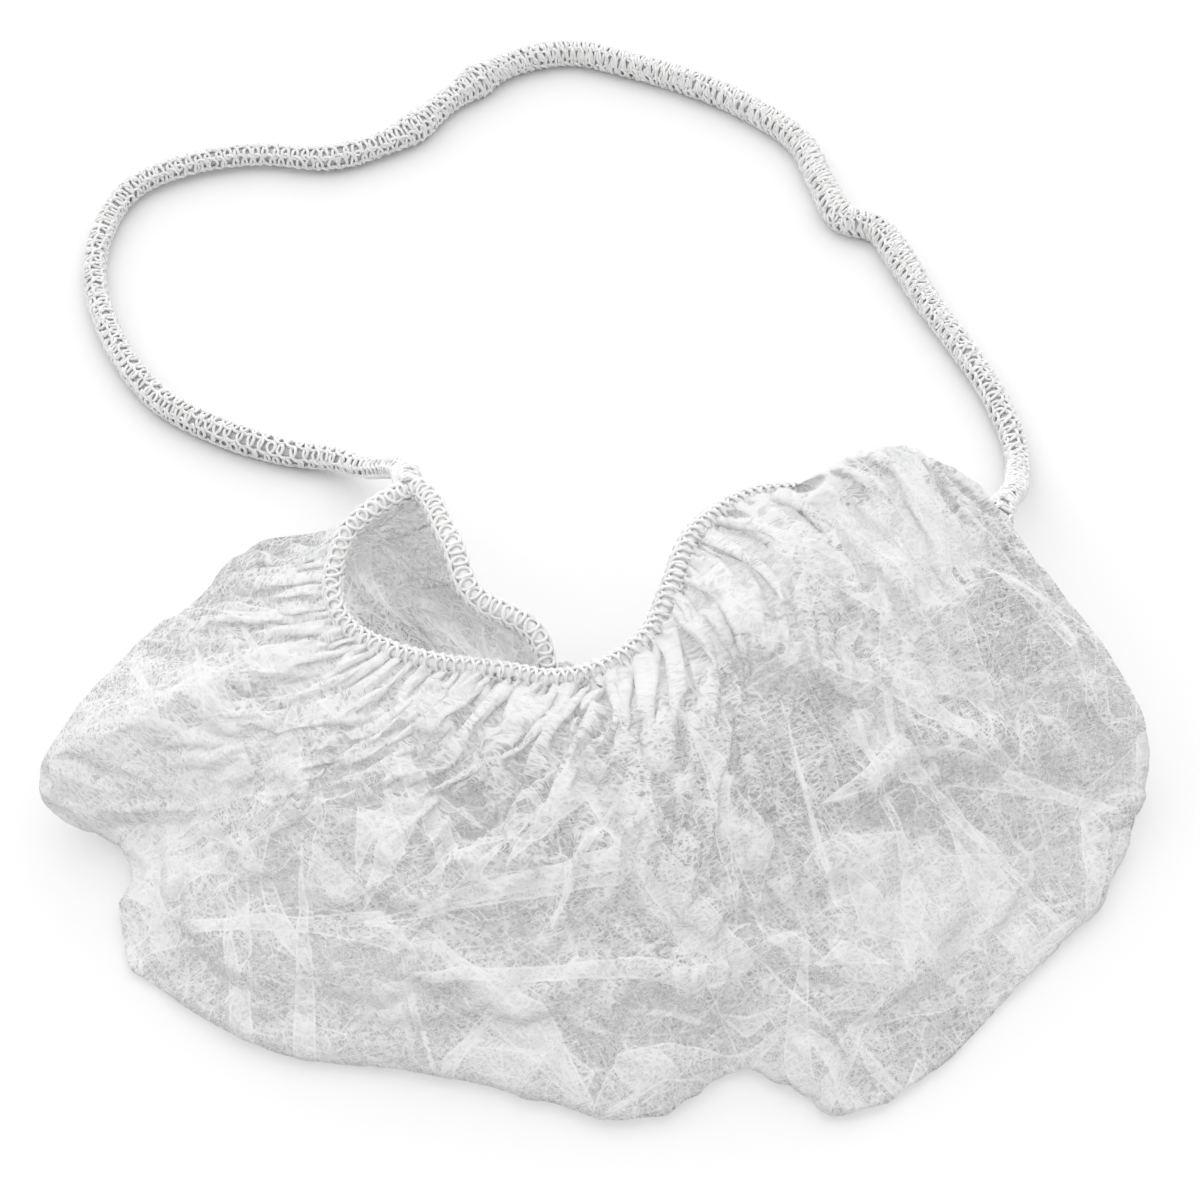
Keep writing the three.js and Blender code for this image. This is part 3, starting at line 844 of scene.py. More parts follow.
def add_floor(options):
    """A wide matt floor."""
    material, tree = new_material("floor")
    body = add_node(
        tree, "ShaderNodeBsdfPrincipled", {"Base Color": (*options.floor_colour, 1), "Roughness": 0.9})
    body.inputs["Specular IOR Level"].default_value = 0.1
    add_node(tree, "ShaderNodeOutputMaterial", {"Surface": body.outputs[0]})
    corners = [(x * FLOOR_HALF, y * FLOOR_HALF, 0) for x, y in ((-1, -1), (1, -1), (1, 1), (-1, 1))]
    floor = mesh_object("floor", corners, [(0, 1, 2, 3)], material, smooth=False)


def add_lights():
    """A soft white room that is brightest high up behind the cover, so its shadow falls to the front."""
    scene = bpy.context.scene
    scene.world = bpy.data.worlds.new("soft room")
    scene.world.use_nodes = True
    tree = scene.world.node_tree
    way = add_node(tree, "ShaderNodeTexCoord").outputs["Generated"]
    toward = vector_maths(tree, "DOT_PRODUCT", way, Vector(SKY_TOWARDS).normalized())
    strength = ramp(tree, toward, *SKY_SPREAD, *SKY_STRENGTH)
    tree.links.new(strength, tree.nodes["Background"].inputs["Strength"])
    tree.nodes["Background"].inputs["Color"].default_value = (1, 1, 1, 1)
    scene.world.cycles.sampling_method = "NONE"
    scene.view_settings.view_transform = "Standard"
    scene.cycles.transparent_max_bounces = 32
    scene.cycles.max_bounces = 7
    scene.cycles.diffuse_bounces = 4


def add_camera(options):
    """The camera, which looks down on the cover from the front."""
    data = bpy.data.cameras.new("camera")
    data.lens = options.focal_length
    data.sensor_width = 36
    camera = bpy.data.objects.new("camera", data)
    camera.location = CAMERA_PLACE
    camera.rotation_euler = (Vector(CAMERA_TARGET) - camera.location).to_track_quat("-Z", "Y").to_euler()
    bpy.context.scene.collection.objects.link(camera)
    bpy.context.scene.camera = camera


class BEARDCOVER_OT_head_strap(bpy.types.Operator):
    """Adds the elastic head strap and the looped stitches round it"""

    bl_idname = "beardcover.head_strap"
    bl_label = "Head strap"

    def execute(self, context):
        add_head_strap(settings().elastic)
        return {"FINISHED"}


STRAP_STEPS = 600
STRAP_SIDES = 14
# Along the strap, as shares of its length: its radius beside the widest, how much its stitches wrap
# across it, and the pitch of the loops in millimetres.
STRAP_LOOKS = table(("at", "girth", "wrap", "pitch"), [
    (0.00, 0.78, 0.0, 3.6),
    (0.06, 0.80, 0.0, 3.4),
    (0.09, 0.86, 0.0, 2.5),
    (0.14, 1.08, 0.0, 2.5),
    (0.20, 1.00, 0.1, 2.4),
    (0.28, 0.92, 0.4, 2.3),
    (0.36, 0.90, 0.1, 2.3),
    (0.44, 0.96, 0.1, 2.2),
    (0.50, 1.04, 0.5, 2.0),
    (0.60, 1.10, 0.9, 2.1),
    (0.70, 1.12, 1.0, 2.1),
    (0.76, 1.12, 1.0, 1.8),
    (0.80, 1.04, 0.7, 2.0),
    (0.86, 0.98, 0.2, 2.5),
    (1.00, 0.90, 0.1, 3.2),
])
# Knots in the strap's stitches: where along it, how long and how high, in metres but for the share.
STRAP_BUMPS = table(("at", "long", "rise"), [
    (0.473, 0.005, 0.0008), (0.516, 0.004, 0.0011),
    (0.436, 0.007, 0.0004), (0.785, 0.008, 0.0004),
    (0.738, 0.006, 0.0005),
])
# Stitches: points for each loop, the loops' reach along the cord in metres, their sweep round it (and
# where they wrap) in radians, and their lift and thickness as shares of the thread's diameter.
STRAP_STITCHES = {
    "Strands": 6, "points": 11, "Reach": 0.0012, "Sweep": 0.6, "Wrap Sweep": 1.2, "Start Angle": 0.4,
    "lift": 0.65, "thick": 0.5, "Wander": 0.5, "Sides": 4, "Seed": 3,
}
UP = (0.0, 0.0, 1.0)


def strap_line():
    """The strap's middle line, in even steps."""
    route = np.array(STRAP_ROUTE)
    dense = curve_at(route, np.linspace(0, len(route) - 1, 4 * STRAP_STEPS), closed=False)
    return even_steps(dense, STRAP_STEPS)


def press_on_table(obj):
    """Flattens what would sink under the table on to its top."""
    places = np.empty(len(obj.data.vertices) * 3, dtype=np.float32)
    obj.data.vertices.foreach_get("co", places)
    places = places.reshape(-1, 3)
    places[:, 2] = np.maximum(places[:, 2], 0)
    obj.data.vertices.foreach_set("co", places.ravel())
    obj.data.update()


def add_head_strap(options):
    """The strap's elastic core and its stitches, as one free cord from join to join."""
    shaded_core_material = elastic_materials(options)[0]
    line = strap_line()
    along, length = lengths_along(line)
    share = along / length
    radius = look_at(STRAP_LOOKS, "girth", share) * options.strap_diameter / 2
    for bump in STRAP_BUMPS:
        radius += bump["rise"] * np.exp(-(((share - bump["at"]) * length / bump["long"]) ** 2))
    up = np.tile(UP, (STRAP_STEPS, 1))
    core_radius = radius - options.thread
    strap = tube_object("strap_elastic", line, core_radius, STRAP_SIDES, shaded_core_material, up)
    turns = loops_before(line, STRAP_LOOKS)
    path = path_object("strap path", line, up, turns, look_at(STRAP_LOOKS, "wrap", share), core_radius)
    stitches = stitch_round("strap_stitches", path, options, turns, STRAP_STITCHES)
    press_on_table(strap)
    press_on_table(stitches)
    on_body("elastic", strap, stitches)
    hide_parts("head_strap")


class BEARDCOVER_OT_pouch(bpy.types.Operator):
    """Adds the gathered nonwoven pouch"""

    bl_idname = "beardcover.pouch"
    bl_label = "Pouch"

    def execute(self, context):
        add_pouch(settings().pouch)
        return {"FINISHED"}


POUCH_COLUMNS = 760
UPPER_ROWS = 99  # from the mouth over the girth to the foot
UNDER_ROWS = 24  # from the foot to the middle of the base
UPPER_MARKS = 260  # how finely the two are drawn before they get their even rows
UNDER_MARKS = 60
GIRTH_ROW = round(0.85 * UPPER_ROWS)


def wall_grid():
    """The plain wall of the pouch: a column of places for each step round the mouth, from the rim to
    the base centre, and how much of the main folds each place takes."""
    turns = len(SECTIONS) * np.arange(POUCH_COLUMNS) / POUCH_COLUMNS
    rings = [curve_at(ring, turns, closed=True) for ring in section_rings()]
    centre = np.tile(np.array(BASE_CENTRE) * MM, (POUCH_COLUMNS, 1))
    controls = np.array([*rings, centre])
    foot = len(rings) - 1
    marks = np.linspace(0, foot, UPPER_MARKS)
    upper = curve_at(controls, marks, closed=False).transpose(1, 0, 2)
    under = curve_at(controls, np.linspace(foot, foot + 1, UNDER_MARKS), closed=False).transpose(1, 0, 2)
    columns = []
    shares = []
    for top, base in zip(upper, under):
        parts = [even_steps(top, UPPER_ROWS + 1)[:-1], even_steps(base, UNDER_ROWS + 1)[:-1]]
        columns.append(np.concatenate(parts))
        along, whole = lengths_along(top)
        ring = np.interp(np.linspace(0, whole, UPPER_ROWS + 1)[:-1], along, marks)
        folded = np.interp(ring, [0, 1, 2, 3], [0, 1, 1, 0])  # all between the puff and the crown
        shares.append(np.concatenate([folded, np.zeros(UNDER_ROWS)]))
    return np.array(columns), np.array(shares)


def edge_line(grid):
    """The middle line of the elastic edge: the middle of the wall's lip, moved off it."""
    rim, after = grid[:, 0], grid[:, 2]
    along = unit(np.roll(rim, -1, axis=0) - np.roll(rim, 1, axis=0))
    away = rim - after
    away = unit(away - (away * along).sum(1, keepdims=True) * along)
    inward = unit(np.cross(away, along))
    return rim + inward * WALL / 2 * MM + away * (EDGE_DIAMETER / 2 + GAP) * MM


def outward_normals(grid):
    """The way out of the wall at each place."""
    around = np.roll(grid, -1, axis=0) - np.roll(grid, 1, axis=0)
    down = np.gradient(grid, axis=1)
    return unit(np.cross(down, around))


def smooth_noise(count, knots, random):
    """A wandering value for each of count steps round the mouth, from -1 to 1, with so many bends."""
    values = random.uniform(-1, 1, knots)
    return curve_at(values, knots * np.arange(count) / count, closed=True)


def nearest_on_line(places, line):
    """Distance from places (x, y) to a polyline in millimetres, the share of its length where each is
    nearest, and the way to its left there."""
    best = np.full(places.shape[:-1], np.inf)
    share = np.zeros_like(best)
    left = np.zeros(places.shape)
    line = np.array(line, float) * MM
    steps = np.linalg.norm(np.diff(line, axis=0), axis=1)
    before = np.concatenate([[0], np.cumsum(steps)])
    for start, end, length, passed in zip(line[:-1], line[1:], steps, before):
        way = (end - start) / length
        offset = places - start
        along = np.clip(offset @ way, 0, length)
        distance = np.linalg.norm(offset - along[..., None] * way, axis=-1)
        nearer = distance < best
        best = np.where(nearer, distance, best)
        share = np.where(nearer, (passed + along) / before[-1], share)
        left = np.where(nearer[..., None], np.array([-way[1], way[0]]), left)
    return best, share, left


def main_folds(grid, shares):
    """Raises the main folds of the upper wall, and leans them over."""
    places = grid[..., :2]
    lift = np.zeros(grid.shape[:2])
    lean = np.zeros(places.shape)
    for fold in FOLDS:
        distance, share, left = nearest_on_line(places, fold["line"])
        near = np.clip(1 - distance / (fold["width"] * MM), 0, 1)
        ends = np.clip(np.minimum(share, 1 - share) / FOLD_ENDS["long"], FOLD_ENDS["least"], 1)
        rise = near ** 1.4 * (3 - 2 * near) * ends
        lift += FOLD_SHARE * fold["height"] * MM * rise
        lean += (FOLD_SHARE * fold["lean"] * MM * rise)[..., None] * left
    folded = grid.copy()
    folded[..., 2] += shares * lift
    folded[..., :2] += shares[..., None] * lean
    return folded


# Where the upper wall lies double, seen from above: strips along a line, so wide at its start and at
# its end, in millimetres. Strips that cross are on different layers.
DOUBLED = table(("line", "wide", "layer"), [
    ([(-108, 8), (-50, 27)], (1.0, 13.0), 0),
    ([(-104, 1), (-58, 2)], (2.0, 20.0), 1),
    ([(-55, 14), (-68, -22)], (9.0, 6.0), 2),
    ([(-100, -8), (-66, -19)], (1.0, 8.0), 2),
    ([(-40, 4), (-29, -23)], (3.0, 5.0), 0),
    ([(-13, 11), (8, -27)], (5.0, 9.0), 0),
    ([(-27, -24), (-7, -9)], (0.5, 9.0), 1),
    ([(-58, 6), (-28, 12)], (2.0, 5.0), 0),
    ([(-46, -34), (4, -27)], (1.0, 6.0), 2),
    ([(-82, -27), (-32, -39)], (2.0, 5.0), 0),
    ([(-36, -37), (-2, -62)], (5.0, 5.0), 1),
    ([(-38, -43), (20, -45)], (1.5, 4.0), 0),
    ([(40, -36), (14, -46)], (1.0, 4.0), 1),
    ([(6, -22), (42, -60)], (6.0, 15.0), 2),
    ([(8, -25), (-36, -33)], (4.0, 1.5), 0),
    ([(20, 24), (62, 9)], (3.0, 7.0), 0),
    ([(62, 9), (86, -2)], (7.0, 2.0), 0),
    ([(49, 6), (60, -22)], (1.0, 2.4), 1),
    ([(104, 2), (58, -4)], (1.0, 6.0), 1),
    ([(60, -4), (94, -24)], (3.0, 1.0), 2),
    ([(62, 42), (66, 12)], (14.0, 24.0), 1),
    ([(60, 62), (74, 36)], (8.0, 2.0), 2),
    ([(22, 54), (50, 34)], (3.0, 1.0), 2),
    ([(-90, 46), (-60, 33)], (1.0, 6.0), 2),
    ([(94, 28), (70, 48)], (2.0, 7.0), 0),
])
# Where the cloth is drawn closer and whiter (or more open and darker, if below 0), seen from above: soft
# ovals in millimetres.
DENSE_PLACES = table(("at", "size", "more"), [
    ((-98, 12), (30, 24), 0.7), ((-30, 24), (26, 8), 0.4),
    ((-22, -8), (26, 16), -0.3), ((10, 12), (14, 14), 0.35),
    ((38, 42), (18, 12), -0.5), ((34, 12), (15, 8), -0.4),
    ((70, 36), (22, 22), 0.05), ((60, -30), (20, 16), -0.25),
    ((84, 6), (16, 10), 0.2), ((16, -22), (18, 14), 0.5),
    ((-80, -16), (14, 16), 0.15), ((-20, -44), (40, 10), 0.2),
    ((56, 44), (7, 4), -0.3), ((74, -6), (14, 5), -0.25),
])
OUTSIDE = -4.0  # the depth, in millimetres, of a place that lies in no doubled strip
SMALL_DOUBLED = {"count": 110, "length": (14, 60), "wide": (1.0, 9.0)}
DOUBLED_RISE = 0.2  # how fast a doubled strip rises from its edges
DOUBLED_DEEP = 1.5  # and how far in, in millimetres
# How many bends there are round the outline and how deep they are in millimetres, and the rows that
# they reach over, as shares of the upper rows: their middle and their spread.
OUTLINE_BENDS = [(34, 1.0), (80, 0.6)]
OUTLINE_ROWS = {"middle": 0.9, "spread": 0.12}
# Small creases all over the upper wall: how many, how long and wide, and how high, in millimetres.
CREASES = table(("count", "length", "width", "height"), [
    (60, (25, 70), (6, 12), (0.3, 1.0)),
    (150, (10, 32), (2.5, 6), (0.2, 0.6)),
])
# How the cloth behaves at so many millimetres below its edge, each as (distances, values): how much of
# its surplus it keeps as waves, how far it may sink inside the plain wall and swell outside it in
# millimetres, and how firmly it is held in place.
SURPLUS_KEPT = ([0, 15, 40, 90], [0.75, 0.34, 0.12, 0.08])
ROOM_INSIDE = ([0, 4, 15, 40, 70, 110, 150], [1.0, 1.8, 2.4, 2.2, 2.0, 1.8, 1.5])
ROOM_OUTSIDE = ([0, 8, 30, 60], [0.5, 0.9, 0.8, 0.4])
HELD = ([0, 10, 60], [0.02, 0.004, 0.002])
GIVES_AROUND = 1.01  # how much longer than the plain wall the cloth is, round the mouth and down
GIVES_DOWN = 1.02
# How much the web is drawn closed and white there: where its gathers crowd, and right under the edge. The
# gathers' ridges are drawn lighter and their valleys darker: painted light and shade.
BUNCHED_CROWDED = ([4, 45], [1, 0])
BUNCHED_BY_EDGE = ([4, 10, 24], [1, 0.8, 0])
RIDGES_LIT_AND_SHADED = ([0, 25, 60], [1, 0.7, 0.3])
RIDGE_SPAN = 14  # columns to either side that a gather's ridge is measured against
RIDGE_HEIGHT = 0.6  # and the height, in millimetres, that counts as a full ridge
TABLE_GAP = 0.0004  # the lowest that the cloth's threads come
# The cut's edge round the mouth: the least share of the way out from the middle that counts, the least
# that the rim takes, and how many columns to either side it is evened out over.
CUT_NEEDS = {"from": 0.32, "rim": 0.55, "span": 20}
# Gathers: so many round the mouth, how high they stand, how far they lean, and where they start,
# are full and end below the mouth, in millimetres. The cloth settles in stages, from coarse to fine.
CLOTH_STAGES = [
    {"step": 4, "rounds": 260, "noise": 0.8, "gathers": [
        {"count": 9, "height": 0.7, "lean": 2.0, "start": 20, "full": 50, "end": 110},
        {"count": 17, "height": 0.8, "lean": 2.0, "start": 8, "full": 25, "end": 65},
    ]},
    {"step": 2, "rounds": 120, "noise": 0.2, "gathers": [
        {"count": 46, "height": 0.7, "lean": 2.0, "start": 2, "full": 10, "end": 30},
    ]},
    {"step": 1, "rounds": 70, "noise": 0.05, "gathers": [
        {"count": 104, "height": 0.8, "lean": 1.0, "start": -4, "full": 2, "end": 18},
    ]},
]
EDGE_MOVES = 0.6  # how far the cloth's first row follows the gathers
# How uneven the gathers are: in their places round the mouth and further down, in turns, and in their
# reach and height, as shares. Their ridges are sharper than their valleys. The last row that they
# reach and the rows that they fade over are shares of the upper rows.
UNEVEN = {"place": 0.45, "drift": 0.35, "reach": 0.45, "height": 0.5}
SHARPER = 0.25
GATHER_ROWS = {"last": 0.86, "over": 0.25}
# How much less of each the low wall behind the mouth has. That wall is seen from inside through the mouth,
# and its lower dense value is painted shade: the wall is drawn darker and more open there.
BEHIND = {"gathers": 0.5, "bunched": 0.6, "dense": 0.3, "slid": 0.5}
PULLED_BACK = 0.3  # the share of a step past its room that the cloth goes back each round
# How firmly the cloth's ties hold: to the next place, across a square, and to the place after next,
# which only pushes, and from which share of the flat length.
TIE_FIRMNESS = {"next": 1.0, "slanting": 0.5, "second_round": 0.12, "second_down": 0.25}
PUSHED_FROM = {"round": 0.75, "down": 0.9}


def small_creases(grid, shares, random):
    """How high the small creases stand at each place: sharp straight ridges and valleys."""
    low, high = np.array(PLAN_LOW) * MM, np.array(PLAN_HIGH) * MM
    lift = np.zeros(grid.shape[:2])
    for kind in CREASES:
        for _ in range(kind["count"]):
            middle = random.uniform(low, high)
            angle = random.uniform(0, math.pi)
            half = random.uniform(*kind["length"]) / 2 * MM
            width = random.uniform(*kind["width"]) * MM
            height = random.choice((-1, 1)) * random.uniform(*kind["height"]) * MM
            way = np.array([math.cos(angle), math.sin(angle)])
            offset = grid[..., :2] - middle
            along = np.abs(offset @ way) / half
            narrowed = width * (1.15 - 0.75 * np.minimum(along, 1))
            across = np.abs(offset @ np.array([-way[1], way[0]])) / narrowed
            lift += height * np.clip(1 - across, 0, 1) * np.clip(1 - along, 0, 1) ** 0.6
    return lift * shares


def behind_share(columns):
    """How much each column belongs to the low wall behind the mouth."""
    section = len(SECTIONS) * np.arange(columns) / columns
    return np.interp(section, LIP_SECTIONS, [0, 1, 1, 0])[:, None]


def gather_waves(grid, normals, random, gathers):
    """Where the gathers move each place of the wall."""
    columns, rows = grid.shape[:2]
    rim, whole = lengths_along(grid[:, 0], closed=True)
    around_share = rim / whole
    steps = np.linalg.norm(np.diff(grid, axis=1), axis=2)
    below = np.concatenate([np.zeros((columns, 1)), np.cumsum(steps, axis=1)], 1) / MM
    along = unit(np.roll(grid, -1, axis=0) - np.roll(grid, 1, axis=0))
    moved = np.zeros(grid.shape)
    last, over = (GATHER_ROWS[name] * UPPER_ROWS for name in ("last", "over"))
    upper = np.clip((last - np.arange(rows)) / over, 0, 1)
    behind = behind_share(columns)
    for gather in gathers:
        count = gather["count"]
        wander = UNEVEN["place"] * smooth_noise(columns, count // 2, random)
        drift = UNEVEN["drift"] * smooth_noise(columns, max(count // 3, 4), random)
        drift = drift[:, None] * below / gather["end"]
        phase = 2 * np.pi * (around_share[:, None] * count + wander[:, None] + drift)
        reach = gather["end"] * (1 + UNEVEN["reach"] * smooth_noise(columns, count, random))[:, None]
        rising = np.clip((below - gather["start"]) / (gather["full"] - gather["start"]), 0, 1)
        fading = np.clip((reach - below) / (reach - gather["full"]), 0, 1)
        uneven = (1 + UNEVEN["height"] * smooth_noise(columns, count, random))[:, None]
        strength = (1 - BEHIND["gathers"] * behind) * rising * fading ** 1.2 * upper * uneven
        ridge = np.cos(phase) + SHARPER * np.cos(2 * phase)
        moved += (gather["height"] * MM * strength * ridge)[..., None] * normals
        moved += (gather["lean"] * MM * strength * np.sin(phase))[..., None] * along
    return moved


def grid_pairs(columns, rows, step_round, step_down, colour):
    """Pairs of places so many steps apart, those of one colour: no place is in two of its pairs."""
    column, row = np.meshgrid(np.arange(columns), np.arange(rows), indexing="ij")
    other_row = row + step_down
    if step_round:
        mine = (column // abs(step_round)) % 2 == colour
    else:
        mine = (row // abs(step_down)) % 2 == colour
    mine &= (other_row >= 0) & (other_row < rows)
    first = (column * rows + row)[mine]
    second = ((column + step_round) % columns * rows + other_row)[mine]
    return first, second


def cloth_ties(columns, rows, around, down, slant):
    """What holds the cloth together: (first, second, length, firmness, pushes only) for each batch."""
    ties = []
    flat_around, flat_down = around.ravel(), down.ravel()
    for colour in (0, 1):
        first, second = grid_pairs(columns, rows, 1, 0, colour)
        ties.append((first, second, flat_around[first], TIE_FIRMNESS["next"], False))
        first, second = grid_pairs(columns, rows, 0, 1, colour)
        ties.append((first, second, flat_down[first], TIE_FIRMNESS["next"], False))
        for way in (1, -1):
            first, second = grid_pairs(columns, rows, 1, way, colour)
            side = (flat_around[first] + flat_around[second]) / 2
            edge = flat_down[first if way > 0 else first - 1]
            skew = way * slant.ravel()[first] * side * edge
            length = np.sqrt(np.maximum(side ** 2 + edge ** 2 + 2 * skew, 1e-12))
            ties.append((first, second, length, TIE_FIRMNESS["slanting"], False))
        first, second = grid_pairs(columns, rows, 2, 0, colour)
        length = PUSHED_FROM["round"] * (flat_around[first] + flat_around[second])
        ties.append((first, second, length, TIE_FIRMNESS["second_round"], True))
        first, second = grid_pairs(columns, rows, 0, 2, colour)
        length = PUSHED_FROM["down"] * (flat_down[first] + flat_down[first + 1])
        ties.append((first, second, length, TIE_FIRMNESS["second_down"], True))
    return ties


def relax_cloth(start, plain, normals, ties, room, swell, hold, rounds):
    """Lets the cloth settle: ties keep its lengths, and it stays within room inside the plain wall and
    within swell outside it."""
    shape = start.shape
    places = start.reshape(-1, 3).copy()
    plain, normals = plain.reshape(-1, 3), normals.reshape(-1, 3)
    room, swell = room.ravel(), swell.ravel()
    hold = np.broadcast_to(hold, shape[:2]).ravel()[:, None]
    held = np.arange(shape[0]) * shape[1]
    for _ in range(rounds):
        for first, second, length, firmness, push in ties:
            gap = places[second] - places[first]
            far = np.sqrt(np.einsum("ij,ij->i", gap, gap)) + 1e-9
            miss = 1 - length / far
            if push:
                miss = np.minimum(miss, 0)
            gap *= (0.5 * firmness * np.clip(miss, -1.0, 1.0))[:, None]
            places[first] += gap
            places[second] -= gap
        offset = places - plain
        out = np.einsum("ij,ij->i", offset, normals)
        excess = out - np.clip(out, -room, swell)
        places -= PULLED_BACK * excess[:, None] * normals + hold * offset
        places[:, 2] = np.maximum(places[:, 2], TABLE_GAP)
        places[held] = start[:, 0]
    return places.reshape(shape)


def small_doubled(random):
    """Long narrow triangles all over the upper wall, where the cloth lies double."""
    triangles = []
    for number in range(SMALL_DOUBLED["count"]):
        middle = random.uniform(PLAN_LOW, PLAN_HIGH)
        angle = random.uniform(0, 2 * math.pi)
        way = np.array([math.cos(angle), math.sin(angle)])
        half = way * random.uniform(*SMALL_DOUBLED["length"]) / 2
        tip = middle + half * random.uniform(-1, 1)
        tip = tip + np.array([-way[1], way[0]]) * random.uniform(*SMALL_DOUBLED["wide"])
        triangles.append({"corners": [middle - half, middle + half, tip], "layer": number % 3})
    return triangles


def strip_corners(strip):
    """The four corners of a strip, anticlockwise."""
    start, end = np.array(strip["line"], float)
    way = (end - start) / np.linalg.norm(end - start)
    left = np.array([-way[1], way[0]])
    near, far = (wide / 2 * left for wide in strip["wide"])
    return [start - near, end - far, end + far, start + near]


def doubled_depth(grid, strips, triangles):
    """How far inside a doubled strip or triangle each place is (outside: below 0), for each of three
    layers, in millimetres."""
    plan = grid[..., :2] / MM
    depth = np.full((*plan.shape[:2], 3), OUTSIDE)
    shapes = [(strip_corners(strip), strip["layer"]) for strip in strips]
    shapes += [(triangle["corners"], triangle["layer"]) for triangle in triangles]
    for corners, layer in shapes:
        corners = np.array(corners, float)
        inside = np.full(plan.shape[:2], np.inf)
        for start, end in zip(corners, np.roll(corners, -1, axis=0)):
            way = (end - start) / max(np.linalg.norm(end - start), 1e-6)
            inside = np.minimum(inside, (plan - start) @ np.array([-way[1], way[0]]))
        depth[..., layer] = np.maximum(depth[..., layer], inside)
    return depth


def density(grid):
    """How much closer and whiter (below 0: more open and darker) the cloth is drawn at each place than on
    average.
    """
    plan = grid[..., :2] / MM
    total = np.zeros(plan.shape[:2])
    for place in DENSE_PLACES:
        away = ((plan - place["at"]) / place["size"]) ** 2
        total += place["more"] * np.exp(-away.sum(2))
    return total


def wrap_shares(grid):
    """How much of the small creases each place takes: all of the upper wall, fading at the mouth."""
    row = np.arange(grid.shape[1])
    share = np.interp(row, [0, 10, UPPER_ROWS - 8, UPPER_ROWS + 4], [0.1, 1, 1, 0.2])
    return np.tile(share, (len(grid), 1))


def coarser(values, step):
    """Every step-th place of a grid, both ways."""
    return values[::step, ::step]


def finer(values, step, columns, rows):
    """A coarse grid's values at every place of the fine one."""
    values = curve_at(values, np.arange(columns) / step, closed=True)
    values = curve_at(values.transpose(1, 0, 2), np.arange(rows) / step, closed=False)
    return values.transpose(1, 0, 2)


def summed(lengths, step, axis):
    """Lengths of steps step times as long, at every place."""
    total = np.zeros(lengths.shape)
    for k in range(step):
        total += np.roll(lengths, -k, axis=axis)
    return total


def cut_edge_shares(steps_around, share, rim_steps):
    """How much of the flat cut's edge belongs to each column: enough to reach round the girth."""
    outer = np.where(share > CUT_NEEDS["from"], steps_around / np.maximum(share, CUT_NEEDS["from"]), 0)
    outer = outer.max(axis=1)
    needed = np.maximum(outer / outer.sum(), CUT_NEEDS["rim"] * rim_steps / rim_steps.sum())
    span = CUT_NEEDS["span"]
    steady = np.ones(2 * span + 1) / (2 * span + 1)
    needed = np.convolve(np.concatenate([needed[-span:], needed, needed[:span]]), steady, mode="valid")
    return needed / needed.sum()


def smoothed_around(values, span):
    """Each place's mean over so many columns to either side."""
    total = np.zeros(values.shape)
    for step in range(-span, span + 1):
        total += np.roll(values, step, axis=0)
    return total / (2 * span + 1)


def drawn_cloth(random):
    """The cloth before it settles: the middle line of the elastic edge, a row halfway to the wall, and
    the wall with its folds, its uneven outline, its creases and its doubled strips, and how deep each
    place lies in those strips."""
    grid, shares = wall_grid()
    edge = edge_line(grid)
    grid = main_folds(grid, shares)
    upper = wrap_shares(grid)
    outline = np.zeros(len(grid))
    for bends, height in OUTLINE_BENDS:
        outline += height * MM * (1 - 2 * np.abs(smooth_noise(len(grid), bends, random)))
    middle, spread = (OUTLINE_ROWS[name] * UPPER_ROWS for name in ("middle", "spread"))
    at_girth = np.exp(-(((np.arange(grid.shape[1]) - middle) / spread) ** 2))
    grid = grid + (outline[:, None] * at_girth)[..., None] * outward_normals(grid)
    depth = doubled_depth(grid, DOUBLED, small_doubled(random))
    rise = small_creases(grid, upper, random)
    rise = rise + DOUBLED_RISE * MM * upper * np.clip(depth, 0, DOUBLED_DEEP).sum(2)
    grid = grid + rise[..., None] * outward_normals(grid)
    depth = np.where(upper[..., None] > 0.5, depth, OUTSIDE)
    depth = np.concatenate([depth[:, :1], depth[:, :1], depth], 1)
    grid = np.concatenate([edge[:, None], grid[:, 0:1] * 0.5 + edge[:, None] * 0.5, grid], 1)
    return grid, edge, depth


def cloth_measures(grid, edge):
    """What each place of the cloth measures: how far below its edge it lies, its share of the way to
    the middle, its lengths round the mouth and down, and how its threads slant."""
    steps_around = np.linalg.norm(np.roll(grid, -1, axis=0) - grid, axis=2)
    steps_down = np.linalg.norm(np.diff(grid, axis=1), axis=2)
    steps_down = np.concatenate([steps_down, steps_down[:, -1:]], 1)
    to_centre = np.cumsum(steps_down[:, ::-1], axis=1)[:, ::-1]
    share = to_centre / to_centre[:, :1]
    below = (to_centre[:, :1] - to_centre) / MM
    rim_steps = np.linalg.norm(np.roll(edge, -1, axis=0) - edge, axis=1)
    edge_share = cut_edge_shares(steps_around, share, rim_steps)
    flat_around = EDGE_CLOTH * edge_share[:, None] * share
    surplus = np.maximum(flat_around - steps_around, 0) * np.interp(below, *SURPLUS_KEPT)
    around = steps_around * GIVES_AROUND + surplus
    way_around = unit(np.roll(grid, -1, axis=0) - grid)
    way_down = unit(np.gradient(grid, axis=1))
    return {
        "share": share, "below": below, "edge_share": edge_share, "crowded": flat_around / steps_around,
        "around": around, "down": steps_down * GIVES_DOWN,
        "slant": (way_around * way_down).sum(2) * np.minimum(steps_around / around, 1),
    }


